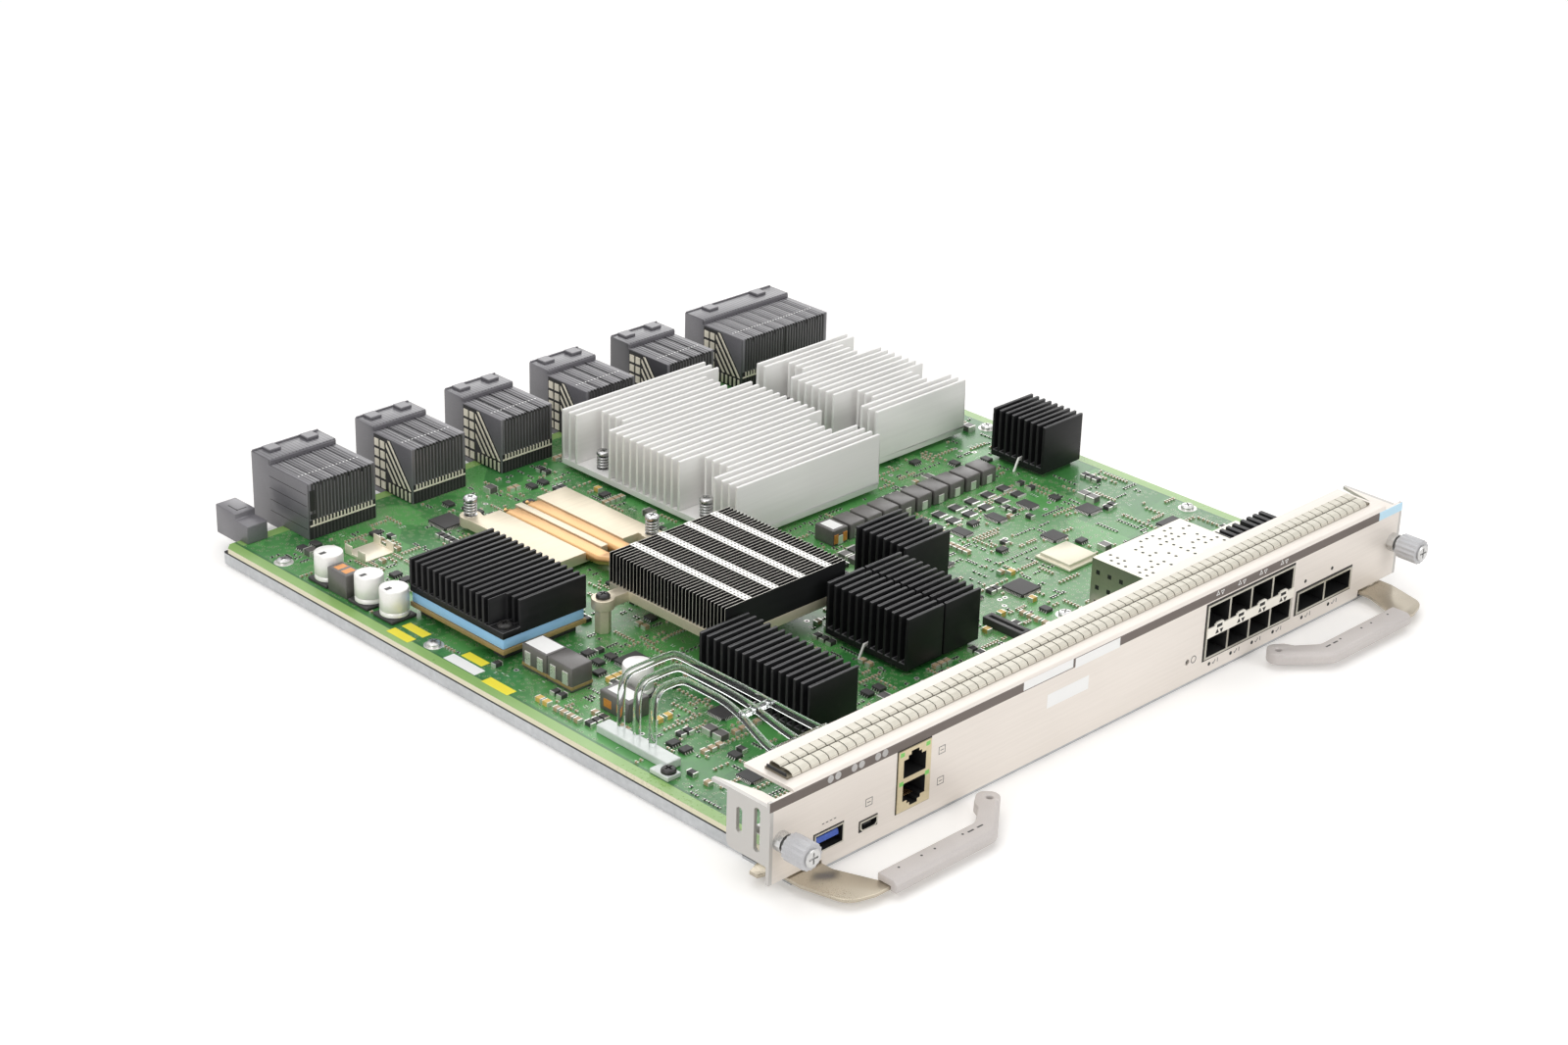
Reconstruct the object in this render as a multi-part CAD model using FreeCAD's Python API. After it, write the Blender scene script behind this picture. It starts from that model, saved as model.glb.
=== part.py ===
"""Supervisor module for a network chassis, in millimetres.

The origin is the centre of the carrier tray's underside, with +Z up, +X to the right along the
panel and +Y from the panel towards the backplane connectors.
"""
import FreeCAD, Part
import math
import os

V = FreeCAD.Vector

# Sheet, board and panel sizes
tray_sheet = 1.2
tray_bend = 2.0
standoff_height = 5.0
standoff_across = 6.0
insulator_thickness = 0.8
board_thickness = 2.4
board_corner = 3.0
panel_sheet = 1.5
panel_bend = 1.9
panel_lift = 2.4
panel_height = 38.0

# Widths and gaps across the board, from the panel's left end to its right end
panel_overhang = 13.0
riser_border = 20.5
riser_width = 44.2
cooler_gap = 16.3
fin_stack_width = 68.5
switch_gap = 15.7
switch_sink_width = 89.5
fabric_gap = 17.3
fabric_sink_width = 61.0
right_border = 25.0

# Depths and gaps from the panel's front face to the rear of the connectors
board_setback = 8.0
front_row_start = 57.5
front_sink_depth = 62.0
fin_stack_gap = 2.5
fin_stack_depth = 69.5
switch_row_gap = 11.5
switch_sink_depth = 117.0
connector_gap = 12.0
connector_seat = 20.0
connector_overhang = 21.5

# Heights above the board
chip_height = 2.0
black_sink_height = 25.6
silver_sink_height = 29.1
connector_height = 29.2
connector_hood_step = 2.4

# Running and fitting clearances
running_gap = 0.05
seat_gap = 0.1
port_gap = 0.3
bolt_gap = 0.2

# Panel folds
return_depth = 26.0
return_inset = 12.0
flange_depth = 22.0
flange_bottom = 13.0
flange_drop = 3.0
flange_lip = 6.5
flange_lip_reach = 8.0
flange_slot_width = 3.0
flange_round = 3.0
flange_tip = 1.0
front_slot_start = 5.0
front_slot_bottom = 17.0
front_slot_top = 35.0
rear_slot_start = 14.0
rear_slot_bottom = 21.0
rear_slot_top = 31.4
lever_notch_width = 27.0
lever_notch_top = 5.6

# Finger gasket on the top return
gasket_start = 6.4
gasket_width = 12.6
gasket_height = 2.6
gasket_sheet = 0.6
gasket_crest = 6.0
gasket_inset = 3.0
finger_pitch = 12.6
finger_slit = 0.8
finger_foot = 0.15
finger_depth = 0.3

# Captive screws
screw_inset = 5.5
screw_height = 22.5
ferrule_radius = 4.0
ferrule_length = 3.4
ferrule_barrel = 3.4
knob_radius = 5.5
knob_flute = 0.5
knob_flutes = 16
knob_length = 10.0
knob_stand_off = 5.5
knob_recess_radius = 4.5
knob_recess_depth = 4.1
captive_radius = 2.0
captive_reach = 12.0
captive_head_radius = 3.6
captive_head_length = 1.2
washer_radius = 3.4
washer_thickness = 0.8
spring_radius = 3.9
spring_wire = 0.9
spring_turns = 3

# Ejector levers, measured from the panel's end and front face
pivot_inset = 17.0
pivot_depth = 9.0
pivot_radius = 2.5
pivot_boss_radius = 3.5
pivot_boss_height = 2.2
pivot_head_radius = 4.0
pivot_head_height = 0.9
arm_thickness = 1.5
arm_width = 16.5
arm_reach = 28.3
claw_reach = 13.8
claw_width = 4.0
claw_rake = 2.0
eye_margin = 4.0
neck_reach = 6.0
neck_taper = 2.4
neck_radius = 6.0
sweep_corner = 5.0
sweep_run = 16.0
sweep_radius = 8.0
grip_start = 33.0
grip_front = 31.5
grip_width = 9.5
grip_run = 54.0
grip_hook = 22.0
grip_height = 5.1
grip_floor = 0.4
grip_bevel = 1.6
tang_length = 27.0
tang_width = 3.3
hook_rise = 18.0
hook_round = 4.0
hook_back = 6.5
hook_lip = 13.0
hook_throat = 15.0
grip_outer_round = 10.0
grip_inner_round = 6.0
hook_hole_radius = 1.5

# Panel ports
usb_start = 22.6
usb_width = 14.9
usb_height = 8.0
usb_depth = 17.0
usb_wall = 0.6
tongue_thickness = 2.2
mini_gap = 8.7
mini_width = 9.1
mini_height = 4.1
mini_depth = 12.0
mini_taper = 1.2
mini_tongue_inset = 2.4
mini_tongue_low = 1.6
mini_tongue_thickness = 0.9
jack_gap = 10.2
jack_width = 17.5
jack_height = 25.8
jack_depth = 24.0
jack_opening = 12.0
jack_mouth_height = 7.6
jack_step = 1.4
jack_key_inset = 2.4
jack_latch_inset = 3.9
jack_rear_wall = 3.0
jack_border = 1.4
sfp_bays = 4
sfp_pitch = 14.25
sfp_bay_width = 13.2
sfp_bay_height = 9.6
sfp_height = 24.8
sfp_depth = 61.0
sfp_edge_from_right = 135.8
strip_height = 4.6
strip_thickness = 0.8
tab_width = 6.4
tab_tip = 4.0
tab_reach = 1.3
cage_gap = 4.1
qsfp_width = 38.8
qsfp_height = 10.2
qsfp_depth = 62.0
qsfp_bay_width = 17.8
qsfp_bay_height = 8.4
cage_wall = 0.9
pin_sink_inset = 1.5
pin_sink_width = 16.5
pin_sink_depth = 16.0
pin_sink_setback = 6.0
pin_base = 2.0
pin_count = 4
pin_width = 2.1
pin_pitch = 4.4
pin_margin = 0.6
pin_height = 8.8
port_stand_out = 0.5
reset_gap = 10.6
reset_height = 2.8
reset_radius = 1.0
reset_hole_radius = 1.4
reset_recess = 0.9
reset_switch_size = 6.0

# Light pipe
pipe_size = 3.0
pipe_height = 27.0
pipe_bend = 12.0
pipe_foot_x = 29.0
pipe_foot_start = 93.0
pipe_foot_pitch = 9.0
pipe_exit_start = 32.0
pipe_exit_pitch = 12.2
pipe_elbow_depth = 66.0
pipe_bracket_width = 7.0
pipe_bracket_height = 3.6
pipe_tab_thickness = 2.0
pipe_tab_half = 3.5
pipe_tab_offset = 7.0
pipe_tab_lead = 16.6
pipe_bracket_offset = 1.5
pipe_bracket_lead = 14.0
pipe_bracket_tail = 9.0

# Cooler
plate_border = 6.4
plate_width = 55.1
plate_depth = 58.0
plate_gap = 41.5
plate_thickness = 4.7
heat_pipe_width = 8.5
heat_pipe_thickness = 4.0
heat_pipe_spacing = 12.5
heat_pipe_bend = 5.0
pipe_end_gap = 2.0
cooler_base_height = 11.0
cooler_base_thickness = 4.5
fin_height = 13.6
fin_count = 28
fin_thickness = 0.8
tie_width = 3.0
tie_thickness = 0.3
ear_radius = 5.0
ear_inset = 4.0
ear_overhang = 4.5
left_leg_reach = 11.4
right_leg_reach = 8.0
leg_inset = 9.0

# Riser
riser_depth = 60.3
riser_lead = 4.2
riser_stand = 3.6
riser_board_thickness = 2.0
riser_pad_thickness = 5.0
riser_corner = 9.0

# Fin sinks
sink_base = 3.0
black_fin = 1.4
black_pitch = 4.0
silver_fin = 1.5
silver_pitch = 4.6
notch_depth = 12.0
switch_notch_width = 20.0
fabric_notch_width = 13.0
front_notch_share = 0.22
rear_notch_share = 0.81
fabric_sink_depth = 80.0

# Black sinks on their own chips
front_sink_width = 26.5
front_sink_lead = 16.5
twin_sink_width = 21.2
twin_sink_depth = 45.9
twin_sink_gap = 1.0
twin_sink_lap = 15.5
black_row_gap = 2.0
centre_sink_width = 27.6
centre_sink_depth = 29.5
centre_sink_offset = 16.1
rear_sink_width = 27.0
rear_sink_depth = 32.0
rear_sink_border = 7.5
rear_sink_gap = 44.0
chip_margin = 3.0
clip_wire = 0.9
clip_foot = 4.0
clip_rise = 1.2

# Loose parts on the board
can_radius = 6.3
can_height = 12.0
can_foot = 1.6
can_foot_reach = 6.6
can_crop = 2.4
can_border = 14.2
can_riser_gap = 2.4
can_pitch = 17.0
can_gap = 28.0
lone_can_inset = 20.4
lone_can_gap = 54.4
coil_width = 11.0
coil_depth = 15.0
coil_height = 11.0
coil_inset = 4.0
coil_lead = 7.0
coil_gap = 0.4
guide_coil_depth = 17.0
guide_coil_height = 8.5
guide_coil_lead = 53.5
edge_coil_width = 8.0
edge_coil_depth = 13.0
edge_coil_height = 11.0
part_gap = 0.6
module_count = 10
module_width = 9.4
module_depth = 11.5
module_height = 7.6
module_pitch = 10.9
module_offset = 32.8
module_lead = 27.0
lidded_width = 20.9
lidded_depth = 20.0
lidded_gap = 2.1
lidded_setback = 32.3
carrier_height = 1.2
lid_margin = 1.5
lid_height = 1.6
large_chip = 12.0
medium_chip = 9.0
small_chip = 6.0
tall_chip = 1.6
low_chip = 1.2
chip_step = 12.0
socket_width = 6.0
socket_length = 21.7
socket_height = 3.6
socket_slot = 2.0
socket_wall = 1.5
socket_offset = 26.5
riser_socket_depth = 7.0
holder_inset = 14.5
holder_gap = 3.0
holder_sheet = 0.6
holder_width = 16.0
holder_depth = 14.0
holder_height = 4.6

# Sizes of the fasteners
screw_radius = 1.5
screw_head_radius = 3.1
head_sides = 12
screw_head_height = 1.9
post_head_radius = 3.3
post_head_height = 2.0
post_spring_radius = 2.8
post_spring_length = 7.0

# Backplane connectors
wafer_pitch = 7.65
wafer_gap = 0.8
wafer_gap_depth = 2.6
connector_width = 30.6
connector_pitch = 51.5
connector_offset = 6.7
hood_length = 13.3
first_connector_width = 36.5
first_connector_gap = 20.3
last_connector_width = 59.2
last_connector_gap = 19.0
power_border = 8.3
power_width = 10.8
power_seat = 6.0
power_setback = 4.0
power_height = 11.6
power_step = 3.0
power_step_depth = 9.0
power_drop = 2.0
power_wall = 2.5

# Derived heights
wall_top = tray_sheet + standoff_height
board_underside = wall_top + insulator_thickness
board_top = board_underside + board_thickness
panel_top = panel_lift + panel_height
return_underside = panel_top - panel_sheet
chip_top = board_top + chip_height
black_top = board_top + black_sink_height
silver_top = board_top + silver_sink_height
arm_bottom = tray_sheet + pivot_boss_height
arm_top = arm_bottom + arm_thickness

# Derived places across, measured from the panel's left end
board_left = panel_overhang
riser_left = board_left + riser_border
cooler_left = riser_left + riser_width + cooler_gap
cooler_right = cooler_left + fin_stack_width
switch_left = cooler_right + switch_gap
switch_right = switch_left + switch_sink_width
fabric_left = switch_right + fabric_gap
fabric_right = fabric_left + fabric_sink_width
board_right = fabric_right + right_border
panel_width = board_right + panel_overhang
sfp_width = sfp_pitch * sfp_bays + cage_wall + (sfp_pitch - sfp_bay_width) / 2
sfp_left = panel_width - sfp_edge_from_right
qsfp_left = sfp_left + sfp_width + cage_gap
reset_x = sfp_left - reset_gap
mini_start = usb_start + usb_width + mini_gap
jack_start = mini_start + mini_width + jack_gap

# Derived places back from the panel's front face
front_row_end = front_row_start + front_sink_depth
fin_stack_start = front_row_end + fin_stack_gap
fin_stack_end = fin_stack_start + fin_stack_depth
switch_start = fin_stack_end + switch_row_gap
switch_end = switch_start + switch_sink_depth
connector_start = switch_end + connector_gap
board_rear = connector_start + connector_seat
connector_rear = board_rear + connector_overhang
plate_start = fin_stack_end + plate_gap
riser_start = fin_stack_end - riser_lead
fabric_end = switch_end - silver_pitch * 4
fabric_start = fabric_end - fabric_sink_depth
panel_front = -(panel_sheet + board_rear) / 2

# Board screws, from the board's left or right edge and the panel's front face
left_screws = [(10.0, 218.8), (10.0, 322.0)]
right_screws = [(9.0, 98.0), (9.0, 220.4)]
middle_screw = (10.7, 64.7)


def px(distance):
    """Place along X of a distance from the panel's left end."""
    return distance - panel_width / 2


def py(distance):
    """Place along Y of a distance back from the panel's front face."""
    return panel_front + distance


def block(x0, x1, y0, y1, z0, z1):
    """Box between two places along each axis, X and Y from the panel's left end and front face."""
    return Part.makeBox(x1 - x0, y1 - y0, z1 - z0, V(px(x0), py(y0), z0))


def prism(points, reach):
    """Solid drawn from a closed outline of points along the vector reach."""
    return Part.Face(Part.makePolygon(points + points[:1])).extrude(reach)


def plan(points, z0, z1):
    """Solid with an outline seen from above."""
    return prism([V(px(x), py(y), z0) for x, y in points], V(0, 0, z1 - z0))


def side(points, x0, x1):
    """Solid with an outline seen from the side, in depth and height, drawn across in X."""
    return prism([V(px(x0), py(y), z) for y, z in points], V(x1 - x0, 0, 0))


def front(points, y0, y1):
    """Solid with an outline seen from the front, in X and height, drawn back in Y."""
    return prism([V(px(x), py(y0), z) for x, z in points], V(0, y1 - y0, 0))


def rounded(corners, reach):
    """Solid from corners given as (point, radius), each with a tangent arc, along the vector reach."""
    edges = []
    runs = []
    for index, (corner, radius) in enumerate(corners):
        if radius == 0:
            runs.append((corner, corner))
            continue
        before = corners[index - 1][0] - corner
        after = corners[(index + 1) % len(corners)][0] - corner
        before.normalize()
        after.normalize()
        half = before.getAngle(after) / 2
        inwards = before + after
        inwards.normalize()
        start = corner + before * (radius / math.tan(half))
        end = corner + after * (radius / math.tan(half))
        middle = corner + inwards * (radius / math.sin(half) - radius)
        edges.append(Part.Arc(start, middle, end).toShape())
        runs.append((start, end))
    for index, (start, _) in enumerate(runs):
        previous_end = runs[index - 1][1]
        if previous_end.distanceToPoint(start) > 1e-6:
            edges.append(Part.LineSegment(previous_end, start).toShape())
    wire = Part.Wire(Part.__sortEdges__(edges))
    return Part.Face(wire).extrude(reach)


def rounded_plan(corners, z0, z1):
    """Solid with a rounded outline seen from above, from (x, y, radius) corners."""
    return rounded([(V(px(x), py(y), z0), r) for x, y, r in corners], V(0, 0, z1 - z0))


def rounded_side(corners, x0, x1):
    """Solid with a rounded outline seen from the side, from (y, z, radius) corners."""
    return rounded([(V(px(x0), py(y), z), r) for y, z, r in corners], V(x1 - x0, 0, 0))


def rounded_front(corners, y0, y1):
    """Solid with a rounded outline seen from the front, from (x, z, radius) corners."""
    return rounded([(V(px(x), py(y0), z), r) for x, z, r in corners], V(0, y1 - y0, 0))


def post(x, y, radius, z0, z1):
    """Upright cylinder."""
    return Part.makeCylinder(radius, z1 - z0, V(px(x), py(y), z0))


def rod(x, z, radius, y0, y1):
    """Cylinder from front to back."""
    return Part.makeCylinder(radius, y1 - y0, V(px(x), py(y0), z), V(0, 1, 0))


def many_sided(x, radius, sides, z, y0, y1, flute=0.0):
    """Bar from front to back with an even number of corners, every second one drawn in by the flute."""
    corners = []
    for index in range(sides):
        angle = 2 * math.pi * index / sides
        reach = radius - flute * (index % 2)
        corners.append((x + reach * math.sin(angle), z + reach * math.cos(angle)))
    return front(corners, y0, y1)


def ring_of_corners(x, y, radius, sides):
    """Corners of an upright bar with flat sides."""
    angles = [2 * math.pi * (index + 0.5) / sides for index in range(sides)]
    return [(x + radius * math.cos(angle), y + radius * math.sin(angle)) for angle in angles]


def upright_bar(x, y, radius, sides, z0, z1):
    """Upright bar with flat sides, given by the radius of its corners."""
    return plan(ring_of_corners(x, y, radius, sides), z0, z1)


def fuse(shapes):
    """One solid from shapes that touch or overlap."""
    return shapes[0].multiFuse(shapes[1:]).removeSplitter()


def cut(shape, tools):
    """Shape with the tools taken away."""
    return shape.cut(Part.makeCompound(tools))


def mirrored(shape):
    """The other hand of a shape, about the module's middle plane."""
    return shape.mirror(V(0, 0, 0), V(1, 0, 0))


def pair(shape):
    """A shape and its other hand."""
    return Part.makeCompound([shape, mirrored(shape)])


def board_screw_places():
    """Distances from the panel's left end and front face of the screws that hold the board."""
    places = [(board_left + x, y) for x, y in left_screws]
    places += [(board_right - x, y) for x, y in right_screws]
    places.append((sfp_left - middle_screw[0], middle_screw[1]))
    return places


def carrier_tray():
    """Folded sheet tray with side, front and rear walls and hexagonal standoffs."""
    inner_bend = tray_bend - tray_sheet
    wall_start = pivot_depth + claw_reach + claw_width
    left, right = board_left, board_right
    channel = rounded_front([
        (left, wall_top, 0), (left, 0, tray_bend), (right, 0, tray_bend), (right, wall_top, 0),
        (right - tray_sheet, wall_top, 0), (right - tray_sheet, tray_sheet, inner_bend),
        (left + tray_sheet, tray_sheet, inner_bend), (left + tray_sheet, wall_top, 0)],
        wall_start, board_rear)
    floor = block(left, right, panel_sheet, wall_start, 0, tray_sheet)
    lever_room = lever_notch_width + 2 * tray_bend
    front_wall = block(lever_room, panel_width - lever_room, panel_sheet, panel_sheet + tray_sheet,
                       0, panel_lift + tray_sheet)
    rear_wall = block(left + tray_bend, right - tray_bend, board_rear - tray_sheet, board_rear, 0, wall_top)
    pieces = [channel, floor, front_wall, rear_wall]
    bores = []
    for x, y in board_screw_places():
        pieces.append(upright_bar(x, y, standoff_across / math.sqrt(3), 6, tray_sheet, wall_top))
        bores.append(upright_bar(x, y, screw_radius + seat_gap, 6, tray_sheet, wall_top))
    return cut(fuse(pieces), bores)


def insulator_sheet():
    """Sheet between the tray's walls and the board, with a square window for each screw."""
    sheet = block(board_left, board_right, board_setback, board_rear, wall_top, board_underside)
    windows = [upright_bar(x, y, 2 * screw_radius, 4, wall_top, board_underside)
               for x, y in board_screw_places()]
    return cut(sheet, windows)


def main_board():
    """Circuit board with its corners taken off and holes for the screws."""
    board = plan([
        (board_left, board_setback), (board_right, board_setback), (board_right, board_rear - board_corner),
        (board_right - board_corner, board_rear), (board_left + board_corner, board_rear),
        (board_left, board_rear - board_corner)], board_underside, board_top)
    holes = [upright_bar(x, y, screw_radius + bolt_gap, 6, board_underside, board_top)
             for x, y in board_screw_places()]
    return cut(board, holes)


def headed_screw(x, y, seat, tip):
    """Machine screw with its head on a seat and its shank down to the tip."""
    return fuse([upright_bar(x, y, screw_head_radius, 6, seat, seat + screw_head_height),
                 upright_bar(x, y, screw_radius, 6, tip, seat)])


def board_screws():
    """The screws that hold the board down on its standoffs."""
    return Part.makeCompound([
        headed_screw(x, y, board_top, tray_sheet) for x, y in board_screw_places()])


def slot(start, width, bottom, top, x0, x1):
    """Upright slot with its corners taken off, as a solid across X."""
    corner = width * 0.3
    return side([(start + corner, bottom), (start + width - corner, bottom), (start + width, bottom + corner),
                 (start + width, top - corner), (start + width - corner, top), (start + corner, top),
                 (start, top - corner), (start, bottom + corner)], x0, x1)


def side_flange():
    """Left end of the panel, folded back, with two slots and a tapered lip turned in at its top."""
    flange_top = panel_top - flange_drop
    flange = rounded_side([(0, flange_bottom, 0), (flange_depth, flange_bottom, flange_round),
                           (flange_depth, flange_top, flange_tip), (0, flange_top, 0)], 0, panel_sheet)
    slots = [slot(front_slot_start, flange_slot_width, front_slot_bottom, front_slot_top, 0, panel_sheet),
             slot(rear_slot_start, flange_slot_width, rear_slot_bottom, rear_slot_top, 0, panel_sheet)]
    lip = plan([(0, 0), (flange_lip, 0), (flange_lip, flange_depth / 2),
                (panel_sheet, flange_depth + flange_lip_reach), (0, flange_depth + flange_lip_reach)],
               flange_top - panel_sheet, flange_top)
    return fuse([cut(flange, slots), lip])


def port_openings():
    """Cut-outs for the ports, each with the same gap around its shell."""
    ports = [(usb_start, usb_width, usb_height), (mini_start, mini_width, mini_height),
             (jack_start, jack_width, jack_height), (sfp_left, sfp_width, sfp_height),
             (qsfp_left, qsfp_width, qsfp_height)]
    return [block(start - port_gap, start + width + port_gap, 0, panel_sheet,
                  board_top - port_gap, board_top + height + port_gap) for start, width, height in ports]


def faceplate():
    """Panel with its top folded back, both ends folded back, and its ports and holes cut out."""
    inner_bend = panel_bend - panel_sheet
    body = rounded_side([
        (0, panel_lift, 0), (0, panel_top, panel_bend), (return_depth, panel_top, 0),
        (return_depth, return_underside, 0), (panel_sheet, return_underside, inner_bend),
        (panel_sheet, panel_lift, 0)], return_inset, panel_width - return_inset)
    ends = [block(0, return_inset, 0, panel_sheet, panel_lift, panel_top - panel_bend / 2)]
    ends.append(side_flange())
    pieces = [body] + ends + [mirrored(end) for end in ends]
    notch = block(-1, lever_notch_width, 0, panel_sheet, panel_lift - 1, lever_notch_top)
    holes = [notch, mirrored(notch)] + port_openings()
    for x in (screw_inset, panel_width - screw_inset):
        holes.append(many_sided(x, ferrule_barrel + running_gap, 6, screw_height, 0, panel_sheet))
    holes.append(many_sided(reset_x, reset_hole_radius, 6, board_top + reset_height, 0, panel_sheet))
    return cut(fuse(pieces), holes)


def finger_groove(x, foot_y, crest_y):
    """Wedge between two fingers on one flank of the gasket."""
    slope = V(0, crest_y - foot_y, gasket_height)
    outwards = V(0, -slope.z, slope.y) if slope.y > 0 else V(0, slope.z, -slope.y)
    outwards.normalize()
    foot = V(px(x), py(foot_y), panel_top) + slope * finger_foot
    across = V(finger_slit, 0, 0)
    lifted = foot + outwards * finger_depth
    wedge = [lifted + across, lifted - across, foot - outwards * finger_depth]
    return prism(wedge, slope * (1 - 2 * finger_foot))


def emi_gasket():
    """Sprung metal strip folded into a hollow ridge, parted into fingers along both flanks."""
    start, end = gasket_start, gasket_start + gasket_width
    foot = (gasket_width - gasket_crest) / 2
    top = panel_top + gasket_height
    inner = gasket_sheet * 1.5
    left = return_inset + gasket_inset
    right = panel_width - left
    strip = side([
        (start, panel_top), (start + foot, top), (end - foot, top), (end, panel_top),
        (end - inner, panel_top), (end - foot - gasket_sheet / 2, top - gasket_sheet),
        (start + foot + gasket_sheet / 2, top - gasket_sheet), (start + inner, panel_top)], left, right)
    count = int((right - left) / finger_pitch)
    first = (right - left - (count - 1) * finger_pitch) / 2
    grooves = []
    for index in range(count):
        x = left + first + index * finger_pitch
        grooves.append(finger_groove(x, start, start + foot))
        grooves.append(finger_groove(x, end, end - foot))
    return cut(strip, grooves)


def captive_ferrule():
    """Flanged sleeve with a hexagonal barrel in the panel, which guides the left captive screw."""
    flange = many_sided(screw_inset, ferrule_radius, head_sides, screw_height, -ferrule_length, 0)
    barrel = many_sided(screw_inset, ferrule_barrel, 6, screw_height, 0, panel_sheet)
    bore = many_sided(screw_inset, captive_radius + port_gap, head_sides, screw_height,
                      -ferrule_length, panel_sheet)
    return fuse([flange, barrel]).cut(bore)


def knob():
    """Fluted knob on the screw's hexagon, hollow behind for the spring."""
    back = -knob_stand_off
    face = back - knob_length
    body = many_sided(screw_inset, knob_radius, 2 * knob_flutes, screw_height, face, back, knob_flute)
    recess = many_sided(screw_inset, knob_recess_radius, head_sides, screw_height,
                        back - knob_recess_depth, back)
    bore = many_sided(screw_inset, captive_radius + running_gap, 6, screw_height, face, back)
    return cut(body, [recess, bore])


def captive_screw():
    """Screw with a wide end, a hexagonal shank through knob and panel, and a round stud behind its washer."""
    face = -knob_stand_off - knob_length
    stud_start = panel_sheet + seat_gap + washer_thickness + port_gap
    head = many_sided(screw_inset, captive_head_radius, head_sides, screw_height,
                      face - captive_head_length, face)
    shank = many_sided(screw_inset, captive_radius, 6, screw_height, face, stud_start)
    return fuse([head, shank, rod(screw_inset, screw_height, captive_radius, stud_start, captive_reach)])


def retaining_washer():
    """Push-on ring behind the panel that keeps the screw captive."""
    start = panel_sheet + seat_gap
    end = start + washer_thickness
    ring = many_sided(screw_inset, washer_radius, head_sides, screw_height, start, end)
    inner = (captive_radius + running_gap) / math.cos(math.pi / head_sides)
    return ring.cut(many_sided(screw_inset, inner, head_sides, screw_height, start, end))


def knob_spring():
    """Coils between the ferrule and the bottom of the knob's recess."""
    start = -knob_stand_off - knob_recess_depth + seat_gap
    end = -ferrule_length - seat_gap
    pitch = (end - start - spring_wire) / (spring_turns - 1)
    coils = []
    for turn in range(spring_turns):
        y = start + turn * pitch
        coil = many_sided(screw_inset, spring_radius, 6, screw_height, y, y + spring_wire)
        inside = many_sided(screw_inset, spring_radius - spring_wire, 6, screw_height, y, y + spring_wire)
        coils.append(coil.cut(inside))
    return Part.makeCompound(coils)


def lever_pin():
    """Headed pin on the tray's floor, with a boss below the left lever's arm."""
    boss_top = arm_bottom - running_gap
    head = arm_top + running_gap
    return fuse([upright_bar(pivot_inset, pivot_depth, pivot_boss_radius, 6, tray_sheet, boss_top),
                 post(pivot_inset, pivot_depth, pivot_radius, boss_top, head),
                 upright_bar(pivot_inset, pivot_depth, pivot_head_radius, 6, head, head + pivot_head_height)])


def tang_sides():
    """Front and back of the arm's tang, measured from the panel's front face."""
    return -arm_reach, -arm_reach + tang_width


def lever_arm():
    """Left lever's flat steel arm: claw, pivot eye, swept neck and the tang inside the grip."""
    inner = lever_notch_width - 2 * port_gap
    outer = inner - arm_width
    eye_back = pivot_depth + pivot_radius + eye_margin
    claw_tip = pivot_inset - claw_reach
    tang_front, tang_back = tang_sides()
    tang_end = grip_start + tang_length
    arm = rounded_plan([
        (inner - neck_taper, eye_back, 0), (outer, eye_back, 0),
        (claw_tip, pivot_depth + claw_width, 0), (claw_tip, pivot_depth, 0),
        (outer, pivot_depth - claw_rake, 0), (outer, -neck_reach, 0),
        (outer + sweep_corner, tang_back, sweep_radius), (outer + sweep_run, tang_front, 0),
        (tang_end, tang_front, 0), (tang_end, tang_back, 0),
        (grip_start + sweep_corner, tang_back, 0), (grip_start, -grip_front + grip_width, 0),
        (inner, -neck_reach, neck_radius), (inner, pivot_depth - sweep_corner, 0)], arm_bottom, arm_top)
    return cut(arm, [post(pivot_inset, pivot_depth, pivot_radius + running_gap, arm_bottom, arm_top)])


def lever_grip():
    """Left lever's moulded grip: bevelled bar with a hooked end and a pocket below for the tang."""
    bottom = arm_bottom - grip_floor
    top = bottom + grip_height
    face = -grip_front
    back = face + grip_width
    bend = grip_start + grip_run
    tip = bend + grip_hook
    hook = face + hook_rise
    body = rounded_plan([
        (grip_start, back, 0), (grip_start, face, 0), (bend, face, grip_outer_round),
        (tip, hook, hook_round), (tip - hook_back, hook + hook_back, hook_round),
        (tip - hook_lip, hook + claw_rake, 0), (tip - hook_throat, hook - claw_rake, 0),
        (bend - claw_rake, back, grip_inner_round)], bottom, top)
    bevel = side([(face - 1, top - grip_bevel - 1), (face - 1, top + 1), (face + grip_bevel + 1, top + 1)],
                 grip_start - 1, tip)
    turned_bevel = bevel.copy()
    turned_bevel.rotate(V(px(bend), py(face), 0), V(0, 0, 1), math.degrees(math.atan2(hook_rise, grip_hook)))
    tang_front, tang_back = tang_sides()
    pocket = block(grip_start - 1, grip_start + tang_length + seat_gap, tang_front - seat_gap,
                   tang_back + seat_gap, bottom, arm_top + seat_gap)
    shoulder = block(grip_start - 1, grip_start + neck_radius, tang_back, back + 1,
                     bottom, arm_top + seat_gap)
    hole = upright_bar(tip - hook_back, hook, hook_hole_radius, 8, bottom, top)
    return cut(body, [pocket, shoulder, hole, bevel, turned_bevel])


def usb_shell():
    """Folded metal shell of the USB socket, open at the front."""
    shell = block(usb_start, usb_start + usb_width, -port_stand_out, usb_depth,
                  board_top, board_top + usb_height)
    hollow = block(usb_start + usb_wall, usb_start + usb_width - usb_wall, -port_stand_out,
                   usb_depth - usb_wall, board_top + usb_wall, board_top + usb_height - usb_wall)
    return shell.cut(hollow)


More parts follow.
